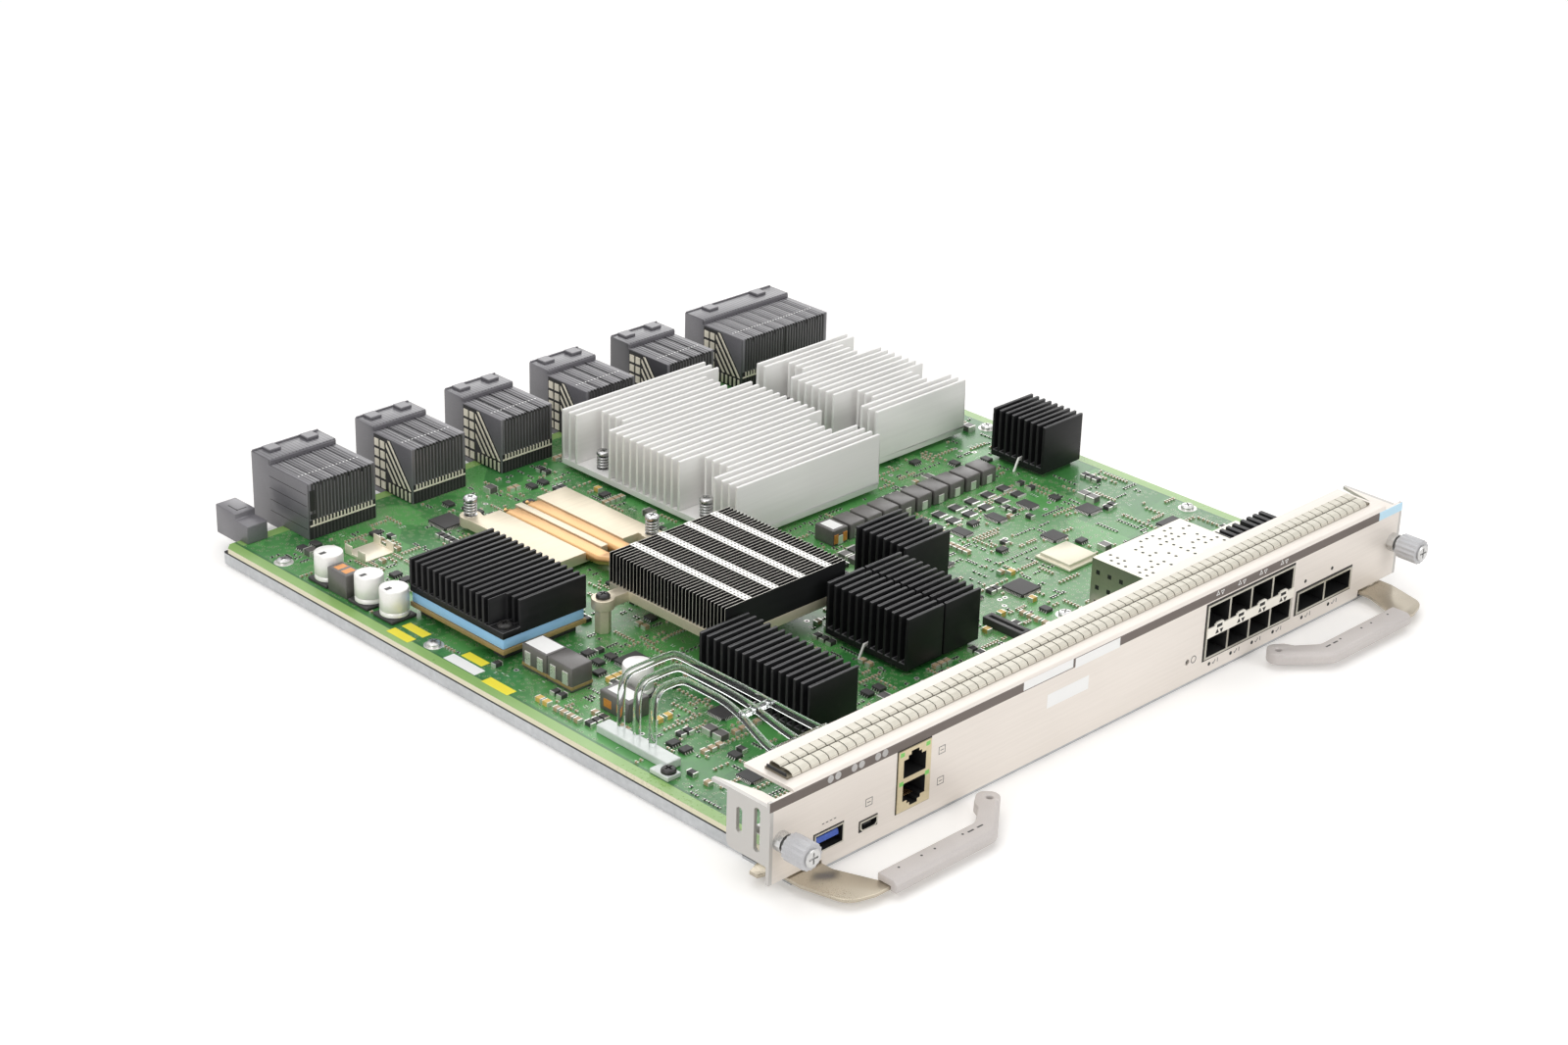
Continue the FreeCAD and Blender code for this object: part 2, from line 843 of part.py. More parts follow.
def usb_tongue():
    """Insulating tongue inside the USB shell, with a slanted tip."""
    centre = board_top + usb_height * 0.56
    low, high = centre - tongue_thickness / 2, centre + tongue_thickness / 2
    margin = 3 * usb_wall
    rear = usb_depth - usb_wall
    return side([(port_stand_out, low), (rear, low), (rear, high), (2 * port_stand_out, high),
                 (port_stand_out, centre)], usb_start + margin, usb_start + usb_width - margin)


def mini_usb():
    """Small socket with a tapered shell and its tongue."""
    taper = mini_taper
    left, right = mini_start, mini_start + mini_width
    bottom, top = board_top, board_top + mini_height
    shell = front([(left + taper, bottom), (right - taper, bottom), (right, bottom + taper),
                   (right, top), (left, top), (left, bottom + taper)], -port_stand_out, mini_depth)
    wall = usb_wall
    hollow = front([(left + taper + wall / 2, bottom + wall), (right - taper - wall / 2, bottom + wall),
                    (right - wall, bottom + taper + wall / 2), (right - wall, top - wall),
                    (left + wall, top - wall), (left + wall, bottom + taper + wall / 2)],
                   -port_stand_out, mini_depth - wall)
    tongue_bottom = bottom + mini_tongue_low
    tongue = block(left + mini_tongue_inset, right - mini_tongue_inset, port_stand_out, mini_depth - wall,
                   tongue_bottom, tongue_bottom + mini_tongue_thickness)
    return fuse([shell.cut(hollow), tongue])


def jack_mouth(bottom, upwards):
    """Stepped opening of one network socket, its key above or below."""
    middle = jack_start + jack_width / 2
    half = jack_opening / 2
    base = jack_mouth_height
    key, latch = half - jack_key_inset, half - jack_latch_inset
    steps = [(half, 0.0), (half, base), (key, base), (key, base + jack_step),
             (latch, base + jack_step), (latch, base + 2 * jack_step)]
    outline = steps + [(-across, height) for across, height in reversed(steps)]
    if not upwards:
        outline = [(across, base + 2 * jack_step - height) for across, height in outline]
    return front([(middle + across, bottom + height) for across, height in outline],
                 -port_stand_out, jack_depth - jack_rear_wall)


def network_jack():
    """Stacked pair of network sockets in one shielded housing."""
    body = block(jack_start, jack_start + jack_width, -port_stand_out, jack_depth,
                 board_top, board_top + jack_height)
    lower = board_top + jack_border
    upper = board_top + jack_height - jack_border - jack_mouth_height - 2 * jack_step
    return cut(body, [jack_mouth(lower, False), jack_mouth(upper, True)])


def cage(left, width, height, depth, bays, bay_width, bay_height, rows):
    """Sheet cage of flat plates that part a grid of square bays, open at the front."""
    right, rear = left + width, depth - cage_wall
    pitch = (width - cage_wall) / bays
    plates = [block(left, right, rear, depth, board_top, board_top + height)]
    floors = [board_top] + [row + bay_height for row in rows]
    ceilings = list(rows) + [board_top + height]
    for low, high in zip(floors, ceilings):
        plates.append(block(left, right, -port_stand_out, rear, low, high))
    sides = [left]
    for column in range(bays):
        x = left + cage_wall / 2 + pitch * (column + 0.5)
        sides += [x - bay_width / 2, x + bay_width / 2]
    sides.append(right)
    for row in rows:
        for start, end in zip(sides[0::2], sides[1::2]):
            plates.append(block(start, end, -port_stand_out, rear, row, row + bay_height))
    return Part.makeCompound(plates)


def sfp_cage():
    """Cage with two rows of bays for small pluggable modules."""
    rows = (board_top + cage_wall, board_top + sfp_height - cage_wall - sfp_bay_height)
    return cage(sfp_left, sfp_width, sfp_height, sfp_depth, sfp_bays, sfp_bay_width, sfp_bay_height, rows)


def sfp_latch_strip():
    """Bright strip between the two rows, with a latch tab bent towards each bay."""
    middle = board_top + sfp_height / 2
    left, right = sfp_left, sfp_left + sfp_width
    face = -port_stand_out
    half = strip_height / 2
    strip = block(left, right, face - strip_thickness, face, middle - half, middle + half)
    tabs = []
    pitch = (sfp_width - cage_wall) / sfp_bays
    for column in range(sfp_bays):
        x = left + cage_wall / 2 + pitch * (column + 0.5)
        for lean in (-1, 1):
            edge = middle + lean * half
            tip = edge + lean * tab_reach
            tabs.append(front([(x - tab_width / 2, edge), (x + tab_width / 2, edge), (x + tab_tip / 2, tip),
                               (x - tab_tip / 2, tip)], face - strip_thickness, face - seat_gap))
    return fuse([strip] + tabs)


def qsfp_cage():
    """Cage with two bays for the larger pluggable modules."""
    rows = (board_top + cage_wall,)
    return cage(qsfp_left, qsfp_width, qsfp_height, qsfp_depth, 2, qsfp_bay_width, qsfp_bay_height, rows)


def qsfp_pin_sinks():
    """Two pin-fin sinks clipped on the larger cage."""
    seat = board_top + qsfp_height
    fin_seat = seat + pin_base
    start = return_depth + pin_sink_setback
    end = start + pin_sink_depth
    sinks = []
    for bay in range(2):
        left = qsfp_left + pin_sink_inset + bay * (qsfp_width - cage_wall) / 2
        pieces = [block(left, left + pin_sink_width, start, end, seat, fin_seat)]
        for column in range(pin_count):
            x = left + pin_margin + column * pin_pitch
            pieces.append(block(x, x + pin_width, start + pin_margin, end - pin_margin,
                                fin_seat, fin_seat + pin_height))
        sinks.append(fuse(pieces))
    return Part.makeCompound(sinks)


def reset_switch():
    """Switch body on the board behind the reset hole."""
    half = reset_switch_size / 2
    body = block(reset_x - half, reset_x + half, board_setback + 1, board_setback + 1 + reset_switch_size,
                 board_top, board_top + reset_switch_size)
    bore = many_sided(reset_x, reset_radius * 1.25, 6, board_top + reset_height,
                      board_setback + 1, board_setback + reset_switch_size)
    return body.cut(bore)


def reset_button():
    """Six-sided plunger that reaches from the switch into the panel's reset hole."""
    return many_sided(reset_x, reset_radius, 6, board_top + reset_height, reset_recess,
                      board_setback + reset_switch_size * 0.6)


def light_guide(index):
    """One clear bar: up from the bracket, over in a bend, along and out to the panel's back."""
    foot_y = pipe_foot_start + index * pipe_foot_pitch
    exit_x = pipe_exit_start + index * pipe_exit_pitch
    elbow_x = pipe_foot_x + pipe_bend + index * pipe_exit_pitch / 2
    top = board_top + pipe_height
    half = pipe_size / 2
    outer, inner = pipe_foot_x - half, pipe_foot_x + half
    short = pipe_bend * 0.25
    arch = front([
        (outer, board_top), (inner, board_top), (inner, top - pipe_bend), (inner + short, top - half - short),
        (inner + pipe_bend - half, top - half), (elbow_x, top - half), (elbow_x, top + half),
        (inner + pipe_bend - half, top + half), (outer + short, top - short), (outer, top - pipe_bend)],
        foot_y - half, foot_y + half)
    run = plan([(elbow_x, foot_y + half), (elbow_x - 0.5, foot_y - half), (elbow_x, pipe_elbow_depth),
                (exit_x - half, return_depth), (exit_x - half, panel_sheet + seat_gap),
                (exit_x + half, panel_sheet + seat_gap), (exit_x + half, return_depth),
                (elbow_x + pipe_size, pipe_elbow_depth), (elbow_x + pipe_size, foot_y - half)],
               top - half, top + half)
    return [arch, run]


def light_pipe():
    """Clear moulding: bracket screwed to the board and three bars that carry light to the panel."""
    left = pipe_foot_x - pipe_bracket_width / 2 - pipe_bracket_offset
    start = pipe_foot_start - pipe_bracket_lead
    end = pipe_foot_start + 2 * pipe_foot_pitch + pipe_bracket_tail
    pieces = [block(left, left + pipe_bracket_width, start, end, board_top, board_top + pipe_bracket_height)]
    tab_x, tab_y = light_pipe_tab()
    tab_top = board_top + pipe_tab_thickness
    pieces.append(block(tab_x - pipe_tab_half, left + 1, tab_y - pipe_tab_half, start + 1 + pipe_tab_half,
                        board_top, tab_top))
    for index in range(3):
        pieces += light_guide(index)
    return fuse(pieces).cut(upright_bar(tab_x, tab_y, screw_radius + bolt_gap, 6, board_top, tab_top))


def light_pipe_tab():
    """Place of the screw that holds the light pipe."""
    return pipe_foot_x - pipe_tab_offset, pipe_foot_start - pipe_tab_lead


def black_screws():
    """Dark screws on the light pipe's tab and on the cooler's ears."""
    tab_x, tab_y = light_pipe_tab()
    seat = board_top + pipe_tab_thickness
    screws = [headed_screw(tab_x, tab_y, seat, board_top)]
    seat = board_top + cooler_base_height + cooler_base_thickness
    for x, y in cooler_ears():
        screws.append(headed_screw(x, y, seat, seat - cooler_base_thickness))
    return Part.makeCompound(screws)


def fin_places(start, end, thickness, pitch):
    """Front faces of fins that share a length evenly."""
    count = max(2, int(round((end - start - thickness) / pitch)) + 1)
    step = (end - start - thickness) / (count - 1)
    return [start + index * step for index in range(count)]


def finned(left, right, start, end, bottom, top, base, thickness, pitch):
    """Extruded comb: a base with upright fins that run across, spaced from front to back."""
    points = [(start, bottom), (end, bottom)]
    for y in reversed(fin_places(start, end, thickness, pitch)):
        if points[-1] != (end, bottom):
            points.append((y + thickness, bottom + base))
        points += [(y + thickness, top), (y, top), (y, bottom + base)]
    return side(points[:-1], left, right)


def notched_sink(left, width, start, depth, notch_width):
    """Silver sink on its chip: a base plate with bonded fins, cut short over the four spring screws."""
    right, end = left + width, start + depth
    seat = chip_top + sink_base
    holes = [upright_bar(x, y, screw_radius + bolt_gap, 6, chip_top, seat)
             for x, y in sink_post_places(left, width, start, depth)]
    pieces = [cut(block(left, right, start, end, chip_top, seat), holes)]
    reach = notch_width / 2
    for y in fin_places(start, end, silver_fin, silver_pitch):
        notched = any(-silver_fin < y - place + reach < notch_width for place in notch_places(start, depth))
        inset = notch_depth if notched else 0
        pieces.append(block(left + inset, right - inset, y, y + silver_fin, seat, silver_top))
    return Part.makeCompound(pieces)


def notch_places(start, depth):
    """Depths of the front and rear notches of a silver sink."""
    return start + depth * front_notch_share, start + depth * rear_notch_share


def sink_post_places(left, width, start, depth):
    """Places of the four spring screws of a silver sink."""
    inset = notch_depth / 2
    return [(x, y) for y in notch_places(start, depth) for x in (left + inset, left + width - inset)]


def silver_sinks():
    """Left side, width, start and depth of both silver sinks."""
    return [(switch_left, switch_sink_width, switch_start, switch_sink_depth),
            (fabric_left, fabric_sink_width, fabric_start, fabric_sink_depth)]


def plate_ears():
    """Places of the two spring screws of the cold plate."""
    left = cooler_left + plate_border
    return [(left + ear_inset, plate_start + plate_depth + ear_overhang),
            (left + plate_width - ear_inset, plate_start - ear_overhang)]


def spring_posts():
    """Every spring screw with the height of the plate that it presses on."""
    posts = [(x, y, chip_top + sink_base) for sink in silver_sinks() for x, y in sink_post_places(*sink)]
    posts += [(x, y, chip_top + plate_thickness) for x, y in plate_ears()]
    return posts


def spring_screws():
    """Screws that hold the sinks down, each with its spring as a sleeve between plate and head."""
    screws = []
    for x, y, seat in spring_posts():
        top = seat + post_spring_length
        screws.append(fuse([upright_bar(x, y, screw_radius, 6, board_top, seat),
                            upright_bar(x, y, post_spring_radius, 6, seat, top),
                            upright_bar(x, y, post_head_radius, 6, top, top + post_head_height)]))
    return Part.makeCompound(screws)


def switch_sink():
    """Large silver sink."""
    return notched_sink(switch_left, switch_sink_width, switch_start, switch_sink_depth, switch_notch_width)


def fabric_sink():
    """Smaller silver sink on the right."""
    return notched_sink(fabric_left, fabric_sink_width, fabric_start, fabric_sink_depth, fabric_notch_width)


def heat_pipe_lefts():
    """Left sides of the two heat pipes."""
    middle = cooler_left + plate_border + plate_width / 2
    return [middle - heat_pipe_spacing / 2 - heat_pipe_width / 2,
            middle + heat_pipe_spacing / 2 - heat_pipe_width / 2]


def cold_plate():
    """Plate on the processor with two channels for the heat pipes and two ears."""
    left = cooler_left + plate_border
    right = left + plate_width
    top = chip_top + plate_thickness
    end = plate_start + plate_depth
    pieces = [block(left, right, plate_start, end, chip_top, top)]
    holes = []
    for x, y in plate_ears():
        near = end - 1 if y > end else plate_start + 1
        pieces.append(upright_bar(x, y, ear_radius, head_sides, chip_top, top))
        pieces.append(block(x - ear_radius * 0.8, x + ear_radius * 0.8, min(y, near), max(y, near),
                            chip_top, top))
        holes.append(upright_bar(x, y, screw_radius + bolt_gap, 6, chip_top, top))
    for pipe_left in heat_pipe_lefts():
        holes.append(block(pipe_left - seat_gap, pipe_left + heat_pipe_width + seat_gap, plate_start - 1,
                           end + 1, top - heat_pipe_thickness, top))
    return cut(fuse(pieces), holes)


def heat_pipes():
    """Flat copper pipes, set in the cold plate and stepped up to the base of the fin stack."""
    low = chip_top + plate_thickness - heat_pipe_thickness
    high = board_top + cooler_base_height
    near = fin_stack_start + pipe_end_gap
    far = plate_start + plate_depth - pipe_end_gap
    rise_start = fin_stack_end + plate_border
    rise_end = plate_start - plate_border
    outer = heat_pipe_bend + heat_pipe_thickness
    pipes = []
    for left in heat_pipe_lefts():
        pipes.append(rounded_side([
            (near, high, 0), (rise_start, high, outer), (rise_end, low, heat_pipe_bend), (far, low, 0),
            (far, low + heat_pipe_thickness, 0), (rise_end, low + heat_pipe_thickness, outer),
            (rise_start, high + heat_pipe_thickness, heat_pipe_bend), (near, high + heat_pipe_thickness, 0)],
            left, left + heat_pipe_width))
    return Part.makeCompound(pipes)


def cooler_ears():
    """Places of the two legs of the cooler's base."""
    return [(cooler_left - left_leg_reach, fin_stack_end - leg_inset),
            (cooler_right + right_leg_reach, fin_stack_start + leg_inset)]


def cooler_base():
    """Plate below the fin stack with channels for the heat pipes, on two legs that stand on the board."""
    bottom = board_top + cooler_base_height
    top = bottom + cooler_base_thickness
    pieces = [block(cooler_left, cooler_right, fin_stack_start, fin_stack_end, bottom, top)]
    holes = []
    legs = []
    half = ear_radius * 0.6
    for x, y in cooler_ears():
        near = cooler_left + 1 if x < cooler_left else cooler_right - 1
        pieces.append(block(min(x, near), max(x, near), y - half, y + half, bottom, top))
        pieces.append(upright_bar(x, y, ear_radius, head_sides, bottom, top))
        legs.append(upright_bar(x, y, ear_radius * 0.7, 6, board_top, bottom))
        holes.append(upright_bar(x, y, screw_radius + bolt_gap, 6, bottom, top))
    for left in heat_pipe_lefts():
        holes.append(block(left - seat_gap, left + heat_pipe_width + seat_gap,
                           fin_stack_start + pipe_end_gap / 2, fin_stack_end + 1,
                           bottom, bottom + heat_pipe_thickness + seat_gap))
    return Part.makeCompound([cut(fuse(pieces), holes)] + legs)


def fin_stack():
    """Thin fins on the cooler's base."""
    bottom = board_top + cooler_base_height + cooler_base_thickness
    pitch = (fin_stack_depth - fin_thickness) / (fin_count - 1)
    return finned(cooler_left, cooler_right, fin_stack_start, fin_stack_end, bottom, bottom + fin_height,
                  fin_thickness, fin_thickness, pitch)


def fin_ties():
    """Bright strips across the tops of the fins."""
    top = board_top + cooler_base_height + cooler_base_thickness + fin_height
    ties = []
    for index in range(4):
        x = cooler_left + fin_stack_width * (index + 0.75) / 4.5
        ties.append(block(x, x + tie_width, fin_stack_start, fin_stack_end, top, top + tie_thickness))
    return Part.makeCompound(ties)


def riser_heights():
    """Underside of the riser board, of its pad and of its sink."""
    board = board_top + riser_stand
    pad = board + riser_board_thickness
    return board, pad, pad + riser_pad_thickness


def riser_board():
    """Small board raised over the main board."""
    bottom, top, _ = riser_heights()
    return block(riser_left, riser_left + riser_width, riser_start, riser_start + riser_depth, bottom, top)


def riser_pad():
    """Soft pad between the riser board and its sink."""
    _, bottom, top = riser_heights()
    return block(riser_left + part_gap, riser_left + riser_width - part_gap, riser_start + part_gap,
                 riser_start + riser_depth - part_gap, bottom, top)


def riser_sink():
    """Black sink on the riser, with one corner cut down to the base for a screw."""
    _, _, bottom = riser_heights()
    sink = finned(riser_left, riser_left + riser_width, riser_start, riser_start + riser_depth,
                  bottom, black_top, sink_base, black_fin, black_pitch)
    corner = block(riser_left - 1, riser_left + riser_corner, riser_start - 1, riser_start + riser_corner,
                   bottom + sink_base, black_top)
    return sink.cut(corner)


def mezzanine_sockets():
    """Board-to-board sockets: two below the riser and one free beside the twin sinks."""
    bottom, _, _ = riser_heights()
    left, right = riser_left + chip_margin, riser_left + riser_width - chip_margin
    first = riser_start + chip_margin
    last = riser_start + riser_depth - chip_margin - riser_socket_depth
    sockets = [block(left, right, y, y + riser_socket_depth, board_top, bottom) for y in (first, last)]
    left = switch_left + socket_offset
    start = front_row_start + chip_margin
    end = start + socket_length
    groove = left + (socket_width - socket_slot) / 2
    free = block(left, left + socket_width, start, end, board_top, board_top + socket_height)
    sockets.append(free.cut(block(groove, groove + socket_slot, start + socket_wall, end - socket_wall,
                                  board_top + socket_wall, board_top + socket_height)))
    return Part.makeCompound(sockets)


def black_sink_boxes():
    """Left, right, start and end of each black sink that stands on its own chip."""
    front_left = cooler_left - front_sink_lead
    twin_left = cooler_right - twin_sink_lap
    second_left = twin_left + twin_sink_width + twin_sink_gap
    twin_end = front_row_end - black_row_gap
    twin_start = twin_end - twin_sink_depth
    centre_left = switch_left + centre_sink_offset
    rear_right = board_right - rear_sink_border
    rear_start = front_row_end + rear_sink_gap
    return {
        "front": [(front_left, front_left + front_sink_width, front_row_start, front_row_end)],
        "twin": [(twin_left, twin_left + twin_sink_width, twin_start, twin_end),
                 (second_left, second_left + twin_sink_width, twin_start, twin_end)],
        "centre": [(centre_left, centre_left + centre_sink_width, twin_end, twin_end + centre_sink_depth)],
        "rear": [(rear_right - rear_sink_width, rear_right, rear_start, rear_start + rear_sink_depth)],
    }


def black_sinks(name):
    """Black fin sinks of one place."""
    return Part.makeCompound([
        finned(left, right, start, end, chip_top, black_top, sink_base, black_fin, black_pitch)
        for left, right, start, end in black_sink_boxes()[name]])


def sink_chips():
    """The chips below every sink and below the cold plate."""
    chips = []
    for boxes in black_sink_boxes().values():
        for left, right, start, end in boxes:
            chips.append(block(left + chip_margin, right - chip_margin,
                               start + chip_margin, end - chip_margin, board_top, chip_top))
    plate = (cooler_left + plate_border, plate_width, plate_start, plate_depth)
    for left, width, start, depth in silver_sinks() + [plate]:
        margin = width / 4
        chips.append(block(left + margin, left + width - margin, start + margin, start + depth - margin,
                           board_top, chip_top))
    return Part.makeCompound(chips)


def wire_clip(left, right, y):
    """Bent wire across a black sink, its feet hooked to the board on either side."""
    over = chip_top + sink_base
    rise = over + clip_rise
    return front([
        (left - clip_foot, board_top), (left - clip_foot + clip_wire, board_top),
        (left - clip_wire, over), (right + clip_wire, over),
        (right + clip_foot - clip_wire, board_top), (right + clip_foot, board_top),
        (right + clip_wire, rise), (left - clip_wire, rise)], y - clip_wire / 2, y + clip_wire / 2)


def sink_wire_clips():
    """Wire clips of the black sinks, each in the gap between two middle fins."""
    clips = []
    boxes = black_sink_boxes()
    first, second = boxes["twin"]
    spans = boxes["front"] + boxes["centre"] + boxes["rear"] + [(first[0], second[1], first[2], first[3])]
    for left, right, start, end in spans:
        fins = fin_places(start, end, black_fin, black_pitch)
        middle = len(fins) // 2
        clips.append(wire_clip(left, right, (fins[middle - 1] + black_fin + fins[middle]) / 2))
    return Part.makeCompound(clips)


def connector_spans():
    """Left and right sides of the connectors in the row, the last one double."""
    first = cooler_left + connector_offset
    lone_right = first - first_connector_gap
    spans = [(lone_right - first_connector_width, lone_right)]
    for index in range(4):
        left = first + index * connector_pitch
        spans.append((left, left + connector_width))
    last = spans[-1][1] + last_connector_gap
    spans.append((last, last + last_connector_width))
    return spans


def backplane_connector(left, right):
    """One connector: wafers with gaps between their tops, and a stepped hood past the board's edge."""
    top = board_top + connector_height - connector_hood_step
    hood = connector_rear - hood_length
    rear_bottom = board_top - connector_hood_step
    shell = side([
        (hood, board_top), (hood, top + connector_hood_step), (connector_rear, top + connector_hood_step),
        (connector_rear, rear_bottom), (board_rear + seat_gap, rear_bottom),
        (board_rear + seat_gap, board_top)], left, right)
    count = max(2, int(round((right - left) / wafer_pitch)))
    pitch = (right - left) / count
    comb = [(left, board_top), (right, board_top)]
    for index in range(count):
        x = right - index * pitch
        comb += [(x, top), (x - pitch + wafer_gap, top)]
        if index < count - 1:
            comb += [(x - pitch + wafer_gap, top - wafer_gap_depth), (x - pitch, top - wafer_gap_depth)]
    comb[-1] = (left, top)
    return fuse([shell, front(comb, connector_start, hood)])


def backplane_connectors():
    """The row of connectors along the rear edge."""
    return Part.makeCompound([backplane_connector(left, right) for left, right in connector_spans()])


def power_block():
    """Power connector at the rear left corner: a stepped block that overhangs the board's edge."""
    left = board_left + power_border
    start = board_rear - power_seat
    rear = connector_rear - power_setback
    top = board_top + power_height
    step = start + power_step_depth
    low = board_top - power_drop
    body = side([(start, board_top), (start, top - power_step), (step, top - power_step), (step, top),
                 (rear, top), (rear, low), (board_rear + seat_gap, low), (board_rear + seat_gap, board_top)],
                left, left + power_width)
    mouth = block(left + power_wall, left + power_width - power_wall, rear - power_step_depth, rear,
                  board_top + power_drop, top - power_drop)
    return body.cut(mouth)


def capacitor(x, y):
    """Round can on a square foot with two corners taken off."""
    seat = board_top + can_foot
    can = upright_bar(x, y, can_radius, 14, seat, seat + can_height)
    near, far = can_foot_reach - can_crop, can_foot_reach
    base = plan([(x - far, y - far), (x + near, y - far), (x + far, y - near), (x + far, y + near),
                 (x + near, y + far), (x - far, y + far)], board_top, seat)
    return can.fuse(base)


def can_row():
    """Depths of the three cans along the left edge, from the riser's rear corner backwards."""
    first = riser_start + riser_depth + can_riser_gap
    second = first + can_pitch
    return first, second, second + can_gap


def capacitors():
    """Cans along the left edge, with one in front of the riser."""
    edge = board_left + can_border
    first, second, third = can_row()
    places = [(edge, first), (edge, second), (edge, third),
              (riser_left + riser_width - lone_can_inset, riser_start - lone_can_gap)]
    return Part.makeCompound([capacitor(x, y) for x, y in places])


def chip_box(x, y, width, depth, height):
    """Block on the board from its left front corner."""
    return block(x, x + width, y, y + depth, board_top, board_top + height)


def inductors():
    """Square coils: one between the cans, a pair in front of the riser and one beside the light guides."""
    edge_start = can_row()[2] - can_foot_reach - part_gap - edge_coil_depth
    left = riser_left + coil_inset
    near = riser_start - coil_lead - coil_depth
    far = near - coil_gap - coil_depth
    guide = riser_start - guide_coil_lead - guide_coil_depth
    return Part.makeCompound([
        chip_box(board_left + edge_coil_width, edge_start,
                 edge_coil_width, edge_coil_depth, edge_coil_height),
        chip_box(left, near, coil_width, coil_depth, coil_height),
        chip_box(left, far, coil_width, coil_depth, coil_height),
        chip_box(left + coil_gap, guide, coil_width, guide_coil_depth, guide_coil_height)])


def power_modules():
    """Row of square power modules in front of the large sink."""
    left = switch_left + module_offset
    start = switch_start - module_lead
    return Part.makeCompound([
        chip_box(left + index * module_pitch, start, module_width, module_depth, module_height)
        for index in range(module_count)])


def lidded_chip():
    """Chip with a metal lid, stepped in above its carrier."""
    left = switch_right + lidded_gap
    start = front_row_start + lidded_setback
    seat = board_top + carrier_height
    carrier = chip_box(left, start, lidded_width, lidded_depth, carrier_height)
    lid = block(left + lid_margin, left + lidded_width - lid_margin, start + lid_margin,
                start + lidded_depth - lid_margin, seat, seat + lid_height)
    return fuse([carrier, lid])


def board_chips():
    """Flat chips spread over the free parts of the board, placed by a common step."""
    riser_column = riser_left + 0.6 * chip_step
    middle_column = switch_left + 3.0 * chip_step
    right_column = sfp_left + 0.8 * chip_step
    front_left = cooler_left - front_sink_lead
    plate_end = plate_start + plate_depth
    large = (large_chip, large_chip, tall_chip)
    medium = (medium_chip, medium_chip, low_chip)
    narrow = (small_chip, medium_chip, low_chip)
    places = [
        (riser_column + 2.2 * chip_step, riser_start - 3.4 * chip_step, large),
        (front_left - black_row_gap - medium_chip, riser_start - 7.8 * chip_step, medium),
        (riser_column, riser_start - 11.4 * chip_step, medium),
        (middle_column, front_row_end - 1.8 * chip_step, medium),
        (middle_column + 1.8 * chip_step, front_row_end - 2.7 * chip_step, large),
        (middle_column + 1.2 * chip_step, front_row_end + 0.7 * chip_step, medium),
        (right_column + 4.2 * chip_step, front_row_end - 3.3 * chip_step, large),
        (right_column + 6.5 * chip_step, front_row_end - 3.0 * chip_step, large),
        (right_column + 2.5 * chip_step, front_row_end - 0.5 * chip_step, medium),
        (right_column + 5.3 * chip_step, front_row_end + 0.2 * chip_step, medium),
        (right_column + 0.3 * chip_step, front_row_end + 2.0 * chip_step, narrow),
        (right_column + 2.2 * chip_step, front_row_end + 2.0 * chip_step, narrow),
        (right_column + 4.0 * chip_step, front_row_end + 2.0 * chip_step, narrow),
        (cooler_left, plate_end + 0.8 * chip_step, large),
    ]
    return Part.makeCompound([chip_box(x, y, *size) for x, y, size in places])


def clip_holder():
    """Folded spring clip between the cans and the first connector."""
    left = riser_left + holder_inset
    right = left + holder_width
    start = can_row()[2] + holder_gap
    top = board_top + holder_height
    floor = board_top + holder_sheet
    channel = front([
        (left, board_top), (right, board_top), (right, top), (right - holder_sheet, top),
        (right - holder_sheet, floor), (left + holder_sheet, floor), (left + holder_sheet, top), (left, top)],
        start, start + holder_depth)
    return channel.cut(block(left - 1, right + 1, start + holder_depth * 0.35, start + holder_depth * 0.65,
                             floor + holder_sheet, top))


def save(name, shape):
    """Write one node."""
    shape.exportStep("parts/" + name + ".step")


def build():
    """Every node by name."""
    nodes = {
        "carrier_tray": carrier_tray(),
        "insulator_sheet": insulator_sheet(),
        "main_board": main_board(),
        "board_screws": board_screws(),
        "faceplate": faceplate(),
        "emi_gasket": emi_gasket(),
        "captive_ferrules": pair(captive_ferrule()),
        "lever_pins": pair(lever_pin()),
        "usb_shell": usb_shell(),
        "usb_tongue": usb_tongue(),
        "mini_usb": mini_usb(),
        "network_jack": network_jack(),
        "sfp_cage": sfp_cage(),
        "sfp_latch_strip": sfp_latch_strip(),
        "qsfp_cage": qsfp_cage(),
        "qsfp_pin_sinks": qsfp_pin_sinks(),
        "reset_switch": reset_switch(),
        "reset_button": reset_button(),
        "light_pipe": light_pipe(),
        "black_screws": black_screws(),
        "switch_sink": switch_sink(),
        "fabric_sink": fabric_sink(),
        "spring_screws": spring_screws(),
        "cold_plate": cold_plate(),
        "heat_pipes": heat_pipes(),
        "cooler_base": cooler_base(),
        "fin_stack": fin_stack(),
        "fin_ties": fin_ties(),
        "riser_board": riser_board(),
        "riser_pad": riser_pad(),
        "riser_sink": riser_sink(),
        "mezzanine_sockets": mezzanine_sockets(),
        "sink_chips": sink_chips(),
        "sink_wire_clips": sink_wire_clips(),
        "backplane_connectors": backplane_connectors(),
        "power_block": power_block(),
        "capacitors": capacitors(),
        "inductors": inductors(),
        "power_modules": power_modules(),
        "lidded_chip": lidded_chip(),
        "board_chips": board_chips(),
        "clip_holder": clip_holder(),
    }
    for name in black_sink_boxes():
        nodes[name + "_sink"] = black_sinks(name)
    for name, piece in (("lever_arm", lever_arm()), ("lever_grip", lever_grip()), ("knob", knob()),
                        ("captive_screw", captive_screw()), ("retaining_washer", retaining_washer()),
                        ("knob_spring", knob_spring())):
        nodes["left_" + name] = piece
        nodes["right_" + name] = mirrored(piece)
    return nodes


os.makedirs("parts", exist_ok=True)
for node_name, node_shape in build().items():
    save(node_name, node_shape)
